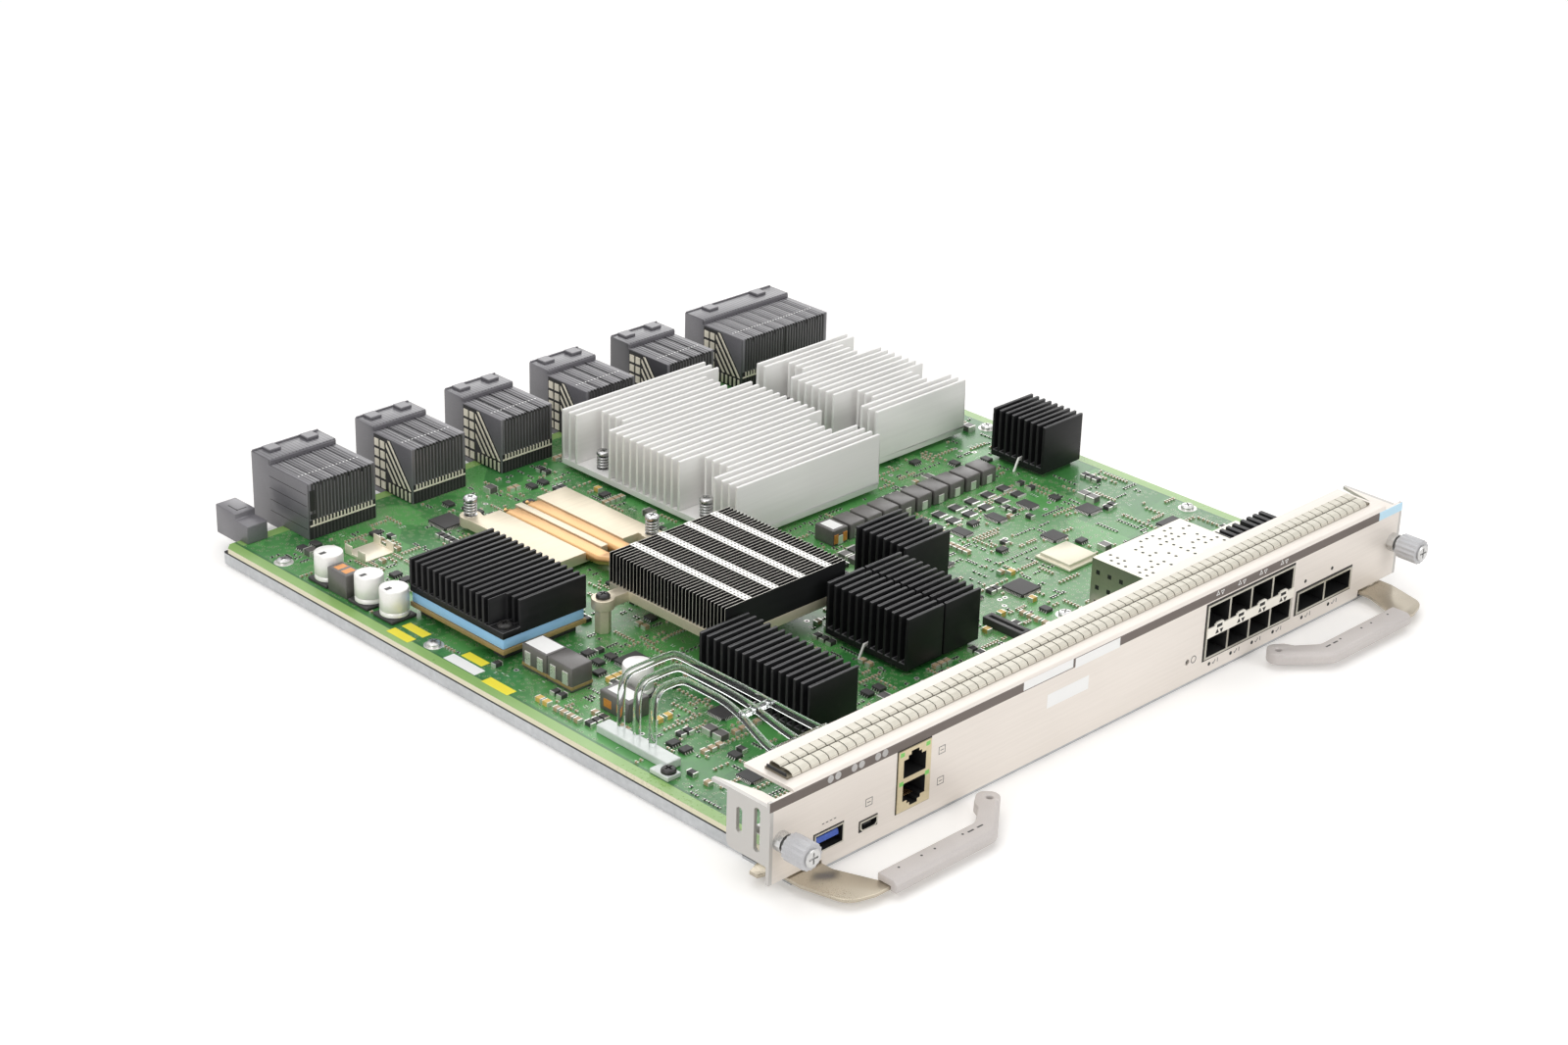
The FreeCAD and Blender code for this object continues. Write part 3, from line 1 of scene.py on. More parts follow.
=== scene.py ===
"""Looks of the supervisor module: finishes, fine pieces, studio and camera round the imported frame."""

import logging
import math
import random
from contextlib import contextmanager
from dataclasses import dataclass, field
from enum import Enum
from typing import Callable, Iterable, Iterator, Sequence

import bpy
from mathutils import Matrix, Vector

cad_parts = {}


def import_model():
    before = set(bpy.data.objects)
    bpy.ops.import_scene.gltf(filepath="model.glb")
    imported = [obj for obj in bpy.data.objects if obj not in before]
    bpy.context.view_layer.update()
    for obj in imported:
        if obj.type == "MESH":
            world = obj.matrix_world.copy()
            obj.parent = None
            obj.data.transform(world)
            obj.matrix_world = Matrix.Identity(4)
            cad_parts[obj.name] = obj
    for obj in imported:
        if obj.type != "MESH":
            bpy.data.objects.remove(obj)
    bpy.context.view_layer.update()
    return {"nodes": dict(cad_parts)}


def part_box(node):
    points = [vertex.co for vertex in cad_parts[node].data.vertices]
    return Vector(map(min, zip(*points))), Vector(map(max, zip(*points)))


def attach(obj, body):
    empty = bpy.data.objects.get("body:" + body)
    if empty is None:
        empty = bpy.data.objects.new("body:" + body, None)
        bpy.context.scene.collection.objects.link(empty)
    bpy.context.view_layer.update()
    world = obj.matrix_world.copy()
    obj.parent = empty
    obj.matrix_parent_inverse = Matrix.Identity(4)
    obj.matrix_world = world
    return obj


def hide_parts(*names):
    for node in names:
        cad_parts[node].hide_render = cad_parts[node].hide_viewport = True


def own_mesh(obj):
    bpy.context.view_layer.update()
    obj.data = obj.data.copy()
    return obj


LOG = logging.getLogger("supervisor_module")
MM = 0.001
Colour = tuple[float, float, float]
Place = tuple[float, float, float]
Turned = tuple[float, float, float, float]
Ring = tuple[float, float]
Box = tuple[Vector, Vector]
Test = Callable[[Vector, Vector], bool]

BOARD_TOP = 9.4
PANEL_FRONT = -176.75
CHASSIS = "chassis"


class Grain(Enum):
    """Direction in which a metal was rolled or brushed, as stretch factors for its grain."""

    NONE = (1.0, 1.0, 1.0)
    ALONG_X = (0.03, 1.0, 1.0)


class Axis(Enum):
    """Axis that a turned piece stands on."""

    UP = "up"
    FORWARD = "forward"


class Bench:
    """Modelling with Blender's own operators, in millimetres."""

    weld: float = 0.001
    flat_angle: float = 0.5
    wire_sides: int = 8
    wire_steps: int = 20
    wire_angle: float = 60.0
    tube_steps: int = 8
    tube_roundness: int = 4
    tube_angle: float = 50.0
    round_angle: float = 40.0

    @staticmethod
    def clear() -> None:
        """Deselect every object."""
        if bpy.context.object is not None and bpy.context.object.mode != "OBJECT":
            bpy.ops.object.mode_set(mode="OBJECT")
        bpy.ops.object.select_all(action="DESELECT")

    @classmethod
    def only(cls, obj: bpy.types.Object) -> bpy.types.Object:
        """Select one object and make it active."""
        cls.clear()
        obj.select_set(True)
        bpy.context.view_layer.objects.active = obj
        return obj

    @classmethod
    @contextmanager
    def editing(cls, obj: bpy.types.Object) -> Iterator[None]:
        """Edit mode on one object, with all of it selected at the start."""
        cls.only(obj)
        bpy.ops.object.mode_set(mode="EDIT")
        bpy.ops.mesh.select_all(action="SELECT")
        yield
        bpy.ops.object.mode_set(mode="OBJECT")

    @staticmethod
    def named(name: str) -> bpy.types.Object:
        """Name the object just added, with its place moved into its mesh."""
        obj = bpy.context.object
        obj.name = name
        obj.data.name = name
        bpy.ops.object.transform_apply(location=True, rotation=True, scale=True)
        return obj

    @classmethod
    def modified(cls, obj: bpy.types.Object, kind: str, **settings: object) -> bpy.types.Object:
        """Apply a modifier to an object.

        Args:
            obj: object to change.
            kind: type of the modifier.
            settings: properties of the modifier.

        Returns:
            The same object.
        """
        cls.only(obj)
        bpy.ops.object.modifier_add(type=kind)
        modifier = obj.modifiers[-1]
        for key, value in settings.items():
            setattr(modifier, key, value)
        bpy.ops.object.modifier_apply(modifier=modifier.name)
        return obj

    @staticmethod
    def stood(obj: bpy.types.Object, centre: Place, axis: Axis) -> bpy.types.Object:
        """Lay a piece that was made along +Z on an axis through a point."""
        turn = Matrix.Rotation(math.radians(90), 4, "X") if axis is Axis.FORWARD else Matrix.Identity(4)
        obj.data.transform(Matrix.Translation(Vector(centre) * MM) @ turn)
        return obj

    @classmethod
    def block(cls, name: str, low: Place, high: Place, edge: float = 0.0,
              segments: int = 2) -> bpy.types.Object:
        """Box between two corners with rounded edges.

        Args:
            name: name of the piece.
            low: lowest corner.
            high: highest corner.
            edge: radius of its edges, 0 for sharp ones.
            segments: faces across each rounded edge.

        Returns:
            The new object.
        """
        cls.clear()
        middle = [(a + b) / 2 * MM for a, b in zip(low, high)]
        size = [(b - a) * MM for a, b in zip(low, high)]
        bpy.ops.mesh.primitive_cube_add(size=1, location=middle, scale=size)
        obj = cls.named(name)
        if edge > 0:
            with cls.editing(obj):
                bpy.ops.mesh.bevel(offset=edge * MM, segments=segments, affect="EDGES")
        return obj

    @classmethod
    def turned(cls, name: str, centre: Place, rings: Sequence[Ring], sides: int = 24,
               axis: Axis = Axis.UP) -> bpy.types.Object:
        """Round piece drawn up ring by ring from a disc.

        Args:
            name: name of the piece.
            centre: point on its axis from which the stations are measured.
            rings: (radius, station) pairs along the axis.
            sides: faces round it.
            axis: UP for +Z, FORWARD for -Y.

        Returns:
            The new object.
        """
        cls.clear()
        radius, station = rings[0]
        bpy.ops.mesh.primitive_circle_add(vertices=sides, radius=radius * MM, fill_type="NGON",
                                          location=(0, 0, station * MM))
        obj = cls.named(name)
        with cls.editing(obj):
            bpy.ops.mesh.select_mode(type="FACE")
            for next_radius, next_station in rings[1:]:
                rise = (0, 0, (next_station - station) * MM)
                bpy.ops.mesh.extrude_region_move(TRANSFORM_OT_translate={"value": rise})
                factor = next_radius / radius
                bpy.ops.transform.resize(value=(factor, factor, 1),
                                         center_override=(0, 0, next_station * MM))
                radius, station = next_radius, next_station
            bpy.ops.mesh.select_all(action="SELECT")
            bpy.ops.mesh.normals_make_consistent(inside=False)
        return cls.smoothed(cls.stood(obj, centre, axis), cls.round_angle)

    @classmethod
    def smoothed(cls, obj: bpy.types.Object, angle: float) -> bpy.types.Object:
        """Shade an object smooth below an angle in degrees."""
        cls.only(obj)
        bpy.ops.object.shade_smooth_by_angle(angle=math.radians(angle))
        return obj

    @classmethod
    def drawn(cls, obj: bpy.types.Object, step: Sequence[float], wanted: Test) -> None:
        """Draw out the faces whose middle in millimetres and normal pass a test.

        Args:
            obj: object to draw from.
            step: way that the faces go.
            wanted: test of a face.
        """
        with cls.editing(obj):
            bpy.ops.mesh.select_mode(type="FACE")
            bpy.ops.mesh.select_all(action="DESELECT")
            bpy.ops.object.mode_set(mode="OBJECT")
            for face in obj.data.polygons:
                face.select = wanted(face.center / MM, face.normal)
            bpy.ops.object.mode_set(mode="EDIT")
            way = [value * MM for value in step]
            bpy.ops.mesh.extrude_region_move(TRANSFORM_OT_translate={"value": way})

    @classmethod
    def farthest(cls, obj: bpy.types.Object, sense: int) -> Test:
        """Test for the faces that lie farthest along Y, or against it for a sense of -1."""
        limit = max(face.center.y * sense for face in obj.data.polygons) / MM - cls.weld
        return lambda centre, normal: centre.y * sense > limit

    @staticmethod
    def coat(obj: bpy.types.Object, finish: "Finish", wanted: Test | None = None) -> bpy.types.Object:
        """Give an object, or only those of its faces that pass a test, a finish.

        Args:
            obj: object to coat.
            finish: its finish.
            wanted: test of a face by its middle in millimetres and its normal.

        Returns:
            The same object.
        """
        material = finish.make()
        index = obj.data.materials.find(material.name)
        if index < 0:
            index = len(obj.data.materials)
            obj.data.materials.append(material)
        for face in obj.data.polygons:
            if wanted is None or wanted(face.center / MM, face.normal):
                face.material_index = index
        return obj

    @classmethod
    def slab(cls, name: str, low: Place, high: Place, finish: "Finish",
             edge: float = 0.08) -> bpy.types.Object:
        """Finished block with narrow bevelled edges.

        Args:
            name: name of the piece.
            low: lowest corner.
            high: highest corner.
            finish: its finish.
            edge: widest bevel, held to a third of the thinnest side.

        Returns:
            The new object.
        """
        thin = min(b - a for a, b in zip(low, high))
        return cls.coat(cls.block(name, low, high, min(edge, thin / 3), 1), finish)

    @classmethod
    def joined(cls, name: str, parts: Sequence[bpy.types.Object]) -> bpy.types.Object:
        """Join objects into one."""
        cls.clear()
        for part in parts:
            part.select_set(True)
        bpy.context.view_layer.objects.active = parts[0]
        if len(parts) > 1:
            bpy.ops.object.join()
        obj = bpy.context.view_layer.objects.active
        obj.name = name
        obj.data.name = name
        return obj

    @classmethod
    def repeated(cls, name: str, pattern: bpy.types.Object, places: Iterable[Turned]) -> bpy.types.Object:
        """Copies of a pattern made at the origin, joined into one piece.

        Args:
            name: name of the piece.
            pattern: object to copy, which is used up.
            places: (x, y, z, turn about Z in degrees) of each copy.

        Returns:
            The joined object.
        """
        copies = []
        for x, y, z, turn in places:
            copy = pattern.copy()
            copy.data = pattern.data.copy()
            copy.data.transform(Matrix.Translation(Vector((x, y, z)) * MM)
                                @ Matrix.Rotation(math.radians(turn), 4, "Z"))
            bpy.context.collection.objects.link(copy)
            copies.append(copy)
        bpy.data.objects.remove(pattern)
        return cls.joined(name, copies)

    @classmethod
    def carved(cls, obj: bpy.types.Object, cutters: Sequence[bpy.types.Object]) -> bpy.types.Object:
        """Take cutters away from an object."""
        for cutter in cutters:
            cls.modified(obj, "BOOLEAN", operation="DIFFERENCE", object=cutter, solver="EXACT")
            bpy.data.objects.remove(cutter)
        return obj

    @classmethod
    def trimmed(cls, obj: bpy.types.Object, place: Place, normal: Place) -> bpy.types.Object:
        """Cut an object off at a plane, on the side that its normal points to.

        Args:
            obj: object to trim.
            place: point on the plane.
            normal: normal of the plane.

        Returns:
            The same object.
        """
        with cls.editing(obj):
            bpy.ops.mesh.bisect(plane_co=[value * MM for value in place], plane_no=normal, use_fill=True,
                                clear_outer=True)
        return obj

    @classmethod
    def softened(cls, node: str, width: float, segments: int, angle: float = 30.0) -> bpy.types.Object:
        """Copy of a CAD node with merged corners and rounded edges.

        Args:
            node: name of the node.
            width: width of the rounding.
            segments: faces across the rounding.
            angle: edges sharper than this many degrees are rounded.

        Returns:
            The new object.
        """
        source = bpy.data.objects[node]
        obj = source.copy()
        obj.data = source.data.copy()
        obj.parent = None
        for key in list(obj.keys()):
            del obj[key]
        obj.data.materials.clear()
        obj.name = node + "_dressed"
        obj.data.name = obj.name
        bpy.context.collection.objects.link(obj)
        with cls.editing(obj):
            bpy.ops.mesh.remove_doubles(threshold=cls.weld * MM)
            bpy.ops.mesh.dissolve_limited(angle_limit=math.radians(cls.flat_angle))
        cls.modified(obj, "BEVEL", width=width * MM, segments=segments, limit_method="ANGLE",
                     angle_limit=math.radians(angle), use_clamp_overlap=True)
        return cls.smoothed(obj, cls.round_angle)

    @classmethod
    def coil(cls, name: str, centre: Place, radius: float, wire: float, height: float, turns: int,
             axis: Axis = Axis.UP) -> bpy.types.Object:
        """Wire spring wound from a ring of wire by the screw modifier.

        Args:
            name: name of the piece.
            centre: point at the start of its axis.
            radius: radius of the coil at the middle of the wire.
            wire: radius of the wire.
            height: length of the coil.
            turns: number of turns.
            axis: axis of the coil.

        Returns:
            The new object.
        """
        cls.clear()
        bpy.ops.mesh.primitive_circle_add(vertices=cls.wire_sides, radius=wire * MM, fill_type="NOTHING",
                                          location=(radius * MM, 0, wire * MM),
                                          rotation=(math.radians(90), 0, 0))
        obj = cls.named(name)
        cls.modified(obj, "SCREW", axis="Z", screw_offset=(height - 2 * wire) / turns * MM, iterations=turns,
                     steps=cls.wire_steps, render_steps=cls.wire_steps)
        with cls.editing(obj):
            bpy.ops.mesh.remove_doubles(threshold=cls.weld * MM)
            bpy.ops.mesh.fill_holes(sides=cls.wire_sides)
            bpy.ops.mesh.normals_make_consistent(inside=False)
        return cls.smoothed(cls.stood(obj, centre, axis), cls.wire_angle)

    @classmethod
    def tube(cls, name: str, route: Sequence[Place], radius: float) -> bpy.types.Object:
        """Round bar along a smooth route.

        Args:
            name: name of the piece.
            route: control points of the route.
            radius: radius of the bar.

        Returns:
            The new mesh object.
        """
        cls.clear()
        bpy.ops.curve.primitive_nurbs_path_add(location=(0, 0, 0))
        obj = bpy.context.object
        spline = obj.data.splines[0]
        spline.points.add(max(0, len(route) - len(spline.points)))
        for point, place in zip(spline.points, route):
            point.co = (*(value * MM for value in place), 1.0)
        spline.order_u = 3
        spline.use_endpoint_u = True
        obj.data.resolution_u = cls.tube_steps
        obj.data.bevel_depth = radius * MM
        obj.data.bevel_resolution = cls.tube_roundness
        obj.data.use_fill_caps = True
        bpy.ops.object.convert(target="MESH")
        return cls.smoothed(cls.named(name), cls.tube_angle)

    @staticmethod
    def mount(obj: bpy.types.Object, slot: str, *nodes: str, body: str = CHASSIS) -> bpy.types.Object:
        """Let a finished piece ride on a body, in place of the nodes it stands for.

        Args:
            obj: the piece.
            slot: not used.
            nodes: CAD nodes that it stands for.
            body: CAD body that it moves with.

        Returns:
            The same object.
        """
        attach(obj, body)
        if nodes:
            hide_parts(*nodes)
        LOG.info("%s rides on %s with %d faces", obj.name, body, len(obj.data.polygons))
        return obj

    @classmethod
    def gather(cls, name: str, parts: Sequence[bpy.types.Object], slot: str,
               *nodes: str) -> bpy.types.Object:
        """Join parts into one piece and mount it on the chassis."""
        return cls.mount(cls.joined(name, parts), slot, *nodes)

    @classmethod
    def spread(cls, name: str, pattern: bpy.types.Object, places: Iterable[Turned], slot: str,
               *nodes: str) -> bpy.types.Object:
        """Copy a pattern to many places and mount the copies on the chassis as one piece."""
        return cls.mount(cls.repeated(name, pattern, places), slot, *nodes)

    @classmethod
    def dressed(cls, node: str, width: float, segments: int, finish: "Finish", slot: str,
                body: str = CHASSIS, angle: float = 30.0) -> bpy.types.Object:
        """Soften a node, coat the copy and mount it in the node's place.

        Args:
            node: name of the node.
            width: width of the rounding.
            segments: faces across the rounding.
            finish: finish of the copy.
            slot: not used.
            body: CAD body that it moves with.
            angle: edges sharper than this many degrees are rounded.

        Returns:
            The new object.
        """
        return cls.mount(cls.coat(cls.softened(node, width, segments, angle), finish), slot, node, body=body)


class Nodes:
    """Short hand for building one shader tree."""

    def __init__(self, tree: bpy.types.NodeTree) -> None:
        """Start with an empty tree."""
        self.tree = tree
        tree.nodes.clear()

    def add(self, kind: str, **settings: object) -> bpy.types.Node:
        """Add a node and set its properties."""
        node = self.tree.nodes.new("ShaderNode" + kind)
        for key, value in settings.items():
            setattr(node, key, value)
        return node

    def wire(self, source: bpy.types.NodeSocket, target: bpy.types.NodeSocket) -> None:
        """Link two sockets."""
        self.tree.links.new(source, target)

    def feed(self, target: bpy.types.NodeSocket, value: object) -> None:
        """Link a socket, or set a constant."""
        if isinstance(value, bpy.types.NodeSocket):
            self.wire(value, target)
        elif isinstance(value, tuple) and len(value) == 3 and target.type == "RGBA":
            target.default_value = (*value, 1.0)
        else:
            target.default_value = value

    def fill(self, node: bpy.types.Node, **values: object) -> bpy.types.Node:
        """Link or set inputs of a node by name."""
        for label, value in values.items():
            self.feed(node.inputs[label], value)
        return node

    def math(self, operation: str, first: object, second: object = 0.0) -> bpy.types.NodeSocket:
        """Result of a Math node."""
        node = self.add("Math", operation=operation)
        self.feed(node.inputs[0], first)
        self.feed(node.inputs[1], second)
        return node.outputs[0]

    def times(self, first: object, second: object) -> bpy.types.NodeSocket:
        """Product of two values."""
        return self.math("MULTIPLY", first, second)

    def above(self, value: object, limit: object) -> bpy.types.NodeSocket:
        """1 where a value is above a limit."""
        return self.math("GREATER_THAN", value, limit)

    def below(self, value: object, limit: object) -> bpy.types.NodeSocket:
        """1 where a value is below a limit."""
        return self.math("LESS_THAN", value, limit)

    def within(self, value: object, low: float, high: float) -> bpy.types.NodeSocket:
        """1 where a value lies between two limits."""
        return self.times(self.above(value, low), self.below(value, high))

    def stripes(self, value: object, pitch: float, share: float) -> bpy.types.NodeSocket:
        """1 on the first share of every pitch in millimetres along a coordinate."""
        return self.below(self.math("FRACT", self.times(value, 1.0 / (pitch * MM))), share)

    def mix(self, factor: object, first: object, second: object) -> bpy.types.NodeSocket:
        """Colour between two others."""
        node = self.add("Mix", data_type="RGBA")
        self.feed(node.inputs[0], factor)
        self.feed(node.inputs[6], first)
        self.feed(node.inputs[7], second)
        return node.outputs[2]

    def ramp(self, value: object, low: float, high: float, start: float = 0.0,
             end: float = 1.0) -> bpy.types.NodeSocket:
        """Value spread from low to high over start to end, held beyond."""
        node = self.add("MapRange")
        self.feed(node.inputs[0], value)
        for index, number in enumerate((low, high, start, end), start=1):
            node.inputs[index].default_value = number
        return node.outputs[0]

    def noise(self, vector: object, scale: object, detail: float = 3.0) -> bpy.types.NodeSocket:
        """Noise value at a place."""
        return self.fill(self.add("TexNoise"), Vector=vector, Scale=scale, Detail=detail).outputs["Fac"]

    def place(self) -> bpy.types.NodeSocket:
        """Object coordinates."""
        return self.add("TexCoord").outputs["Object"]

    def parts(self, vector: object) -> Sequence[bpy.types.NodeSocket]:
        """X, Y and Z of a vector."""
        node = self.add("SeparateXYZ")
        self.feed(node.inputs[0], vector)
        return node.outputs[0], node.outputs[1], node.outputs[2]

    def seen(self) -> bpy.types.NodeSocket:
        """1 for the rays that show a surface: from the camera, mirrored or let through."""
        path = self.add("LightPath").outputs
        bent = self.math("MAXIMUM", path["Is Glossy Ray"], path["Is Transmission Ray"])
        return self.math("MAXIMUM", path["Is Camera Ray"], bent)


class Groups:
    """Shader node groups that several finishes share, each built once."""

    ring_reach: float = 1.9

    @staticmethod
    def fresh(name: str, inputs: dict[str, float | None], outputs: Sequence[str]) -> Nodes:
        """New group with named sockets.

        Args:
            name: name of the group.
            inputs: default of each value by name, None for a vector.
            outputs: names of the values that it gives.

        Returns:
            The group's tree, holding its input and output nodes.
        """
        tree = bpy.data.node_groups.new(name, "ShaderNodeTree")
        for label, value in inputs.items():
            kind = "NodeSocketVector" if value is None else "NodeSocketFloat"
            socket = tree.interface.new_socket(label, in_out="INPUT", socket_type=kind)
            if value is not None:
                socket.default_value = value
        for label in outputs:
            tree.interface.new_socket(label, in_out="OUTPUT", socket_type="NodeSocketFloat")
        nodes = Nodes(tree)
        tree.nodes.new("NodeGroupInput").name = "in"
        tree.nodes.new("NodeGroupOutput").name = "out"
        return nodes

    @classmethod
    def wear(cls) -> bpy.types.NodeTree:
        """Slow drift and fine grain of a surface, as two values and a height."""
        if "surface_wear" in bpy.data.node_groups:
            return bpy.data.node_groups["surface_wear"]
        nodes = cls.fresh("surface_wear", {"Vector": None, "Stretch": None, "Drift": 30.0, "Grain": 900.0},
                          ("Slow", "Fine", "Height"))
        source = nodes.tree.nodes["in"].outputs
        stretched = nodes.add("VectorMath", operation="MULTIPLY")
        nodes.wire(source["Vector"], stretched.inputs[0])
        nodes.wire(source["Stretch"], stretched.inputs[1])
        slow = nodes.noise(source["Vector"], source["Drift"], 4.0)
        fine = nodes.noise(stretched.outputs[0], source["Grain"], 2.0)
        nodes.fill(nodes.tree.nodes["out"], Slow=nodes.ramp(slow, 0.3, 0.7), Fine=nodes.ramp(fine, 0.3, 0.7),
                   Height=fine)
        return nodes.tree

    @classmethod
    def dots(cls) -> bpy.types.NodeTree:
        """Small round dots, one in each cell, and the rings round them, as masks."""
        if "round_dots" in bpy.data.node_groups:
            return bpy.data.node_groups["round_dots"]
        nodes = cls.fresh("round_dots", {"Vector": None, "Scale": 250.0, "Scatter": 1.0, "Size": 0.15},
                          ("Dot", "Ring"))
        source = nodes.tree.nodes["in"].outputs
        cells = nodes.fill(nodes.add("TexVoronoi", voronoi_dimensions="2D"), Vector=source["Vector"],
                           Scale=source["Scale"], Randomness=source["Scatter"])
        distance = cells.outputs["Distance"]
        dot = nodes.below(distance, source["Size"])
        wide = nodes.below(distance, nodes.times(source["Size"], cls.ring_reach))
        nodes.fill(nodes.tree.nodes["out"], Dot=dot, Ring=nodes.math("SUBTRACT", wide, dot))
        return nodes.tree


@dataclass(frozen=True)
class Finish:
    """A surface whose colour, gloss and relief drift slowly and carry a fine grain."""

    name: str
    colour: Colour
    second: Colour
    roughness: float = 0.5
    spread: float = 0.12
    metallic: float = 0.0
    drift: float = 30.0
    grain: float = 900.0
    brushed: Grain = Grain.NONE
    relief: float = 0.02
    specular: float = 0.5
    transmission: float = 0.0
    bending: float = 1.28
    relief_depth: float = 0.6
    grain_share: float = 0.45

    def make(self) -> bpy.types.Material:
        """Material of this finish, built once."""
        if self.name in bpy.data.materials:
            return bpy.data.materials[self.name]
        material = bpy.data.materials.new(self.name)
        material.use_nodes = True
        nodes = Nodes(material.node_tree)
        shader = nodes.add("BsdfPrincipled")
        shader.inputs["Metallic"].default_value = self.metallic
        shader.inputs["Specular IOR Level"].default_value = self.specular
        if self.transmission > 0:
            shader.inputs["Transmission Weight"].default_value = self.transmission
            shader.inputs["IOR"].default_value = self.bending
        nodes.wire(self.tinted(nodes, self.worn(nodes, shader)), shader.inputs["Base Color"])
        nodes.wire(shader.outputs[0], nodes.add("OutputMaterial").inputs[0])
        return material

    def worn(self, nodes: Nodes, shader: bpy.types.Node) -> bpy.types.NodeSocket:
        """Wire the gloss and relief, and give the colour to go on with.

        Args:
            nodes: the material's tree.
            shader: its Principled shader.

        Returns:
            The worn colour.
        """
        group = nodes.add("Group", node_tree=Groups.wear())
        wear = nodes.fill(group, Vector=nodes.place(), Stretch=self.brushed.value, Drift=self.drift,
                          Grain=self.grain).outputs
        both = nodes.math("ADD", nodes.times(wear["Fine"], self.grain_share),
                          nodes.times(wear["Slow"], 1 - self.grain_share))
        low = max(0.03, self.roughness - self.spread)
        high = min(1.0, self.roughness + self.spread)
        nodes.wire(nodes.ramp(both, 0.0, 1.0, low, high), shader.inputs["Roughness"])
        if self.relief > 0:
            bump = nodes.fill(nodes.add("Bump"), Strength=self.relief, Distance=self.relief_depth * MM,
                              Height=wear["Height"])
            nodes.wire(bump.outputs[0], shader.inputs["Normal"])
        return nodes.mix(both, self.colour, self.second)

    def tinted(self, nodes: Nodes, colour: bpy.types.NodeSocket) -> bpy.types.NodeSocket:
        """Base colour over the worn one, here the same."""
        return colour


@dataclass(frozen=True)
class BoardFinish(Finish):
    """Green solder mask with copper pours, traces, vias, a paler border and cream cut edges."""

    border: Colour = (0.28, 0.48, 0.14)
    rim: Colour = (0.03, 0.14, 0.04)
    trace: Colour = (0.12, 0.40, 0.105)
    edge: Colour = (0.80, 0.75, 0.54)
    via: Colour = (0.55, 0.66, 0.40)
    hole: Colour = (0.03, 0.09, 0.03)
    vias: tuple[tuple[float, ...], ...] = ((330.0, 1.0, 0.13, 29.3, 0.45), (620.0, 0.0, 0.16, 32.2, 0.60))
    pours_per_metre: float = 42.0
    trace_pitch: float = 1 / 1.15
    trace_share: float = 0.38
    border_side: float = 173.8
    border_front: float = -166.0
    border_rear: float = 170.0
    rim_width: float = 1.2
    top_skin: float = 0.08

    def tinted(self, nodes: Nodes, colour: bpy.types.NodeSocket) -> bpy.types.NodeSocket:
        """Traces and vias over the worn green, with the border, its rim and the cut edges."""
        place = nodes.place()
        x, y, z = nodes.parts(place)
        pours = nodes.add("TexVoronoi", voronoi_dimensions="2D", distance="MANHATTAN")
        nodes.fill(pours, Vector=place, Scale=self.pours_per_metre)
        poured = nodes.above(nodes.parts(pours.outputs["Color"])[0], 0.55)
        colour = nodes.mix(nodes.times(poured, 0.55), colour, self.trace)
        for along, bundle_scale in ((x, 23.0), (y, 27.0)):
            bundle = nodes.above(nodes.noise(place, bundle_scale, 0.0), 0.56)
            mask = nodes.times(nodes.stripes(along, self.trace_pitch, self.trace_share), bundle)
            colour = nodes.mix(nodes.times(mask, 0.5), colour, self.trace)
        for scale, scatter, size, gate_scale, gate in self.vias:
            group = nodes.add("Group", node_tree=Groups.dots())
            dots = nodes.fill(group, Vector=place, Scale=scale, Scatter=scatter, Size=size).outputs
            open_field = nodes.above(nodes.noise(place, gate_scale, 1.0), gate)
            ring = nodes.times(nodes.times(dots["Ring"], open_field), 0.35)
            colour = nodes.mix(ring, colour, self.via)
            colour = nodes.mix(nodes.times(dots["Dot"], open_field), colour, self.hole)
        side = nodes.math("ABSOLUTE", x)
        inside = nodes.times(nodes.below(side, self.border_side * MM),
                             nodes.within(y, self.border_front * MM, self.border_rear * MM))
        colour = nodes.mix(inside, self.border, colour)
        rim = nodes.within(side, (self.border_side - self.rim_width) * MM, self.border_side * MM)
        colour = nodes.mix(nodes.times(rim, 0.8), colour, self.rim)
        return nodes.mix(nodes.above(z, (BOARD_TOP - self.top_skin) * MM), self.edge, colour)


@dataclass(frozen=True)
class PanelFinish(Finish):
    """Pale satin panel with a printed band, a light patch at its right end and whiter side flanges."""

    band: Colour = (0.15, 0.124, 0.11)
    patch: Colour = (0.53, 0.76, 0.90)
    flange: Colour = (0.53, 0.52, 0.50)
    flange_start: float = 190.3
    flange_share: float = 0.85
    band_low: float = 35.6
    band_high: float = 40.2
    patch_start: float = 175.0
    skin: float = 0.25

    def tinted(self, nodes: Nodes, colour: bpy.types.NodeSocket) -> bpy.types.NodeSocket:
        """Flanges, band and patch over the worn panel."""
        x, y, z = nodes.parts(nodes.place())
        side = nodes.above(nodes.math("ABSOLUTE", x), self.flange_start * MM)
        colour = nodes.mix(nodes.times(side, self.flange_share), colour, self.flange)
        front = nodes.below(y, (PANEL_FRONT + self.skin) * MM)
        band = nodes.times(front, nodes.within(z, self.band_low * MM, self.band_high * MM))
        print_colour = nodes.mix(nodes.above(x, self.patch_start * MM), self.band, self.patch)
        return nodes.mix(band, colour, print_colour)


@dataclass(frozen=True)
class WaferFinish(Finish):
    """Moulding parted into thin wafers by dark lines across X."""

    pitch: float = 1.85
    line_share: float = 0.22
    strength: float = 0.85
    dark: Colour = (0.028, 0.028, 0.033)

    def tinted(self, nodes: Nodes, colour: bpy.types.NodeSocket) -> bpy.types.NodeSocket:
        """Dark lines over the worn moulding."""
        lines = nodes.stripes(nodes.parts(nodes.place())[0], self.pitch, self.line_share)
        return nodes.mix(nodes.times(lines, self.strength), colour, self.dark)


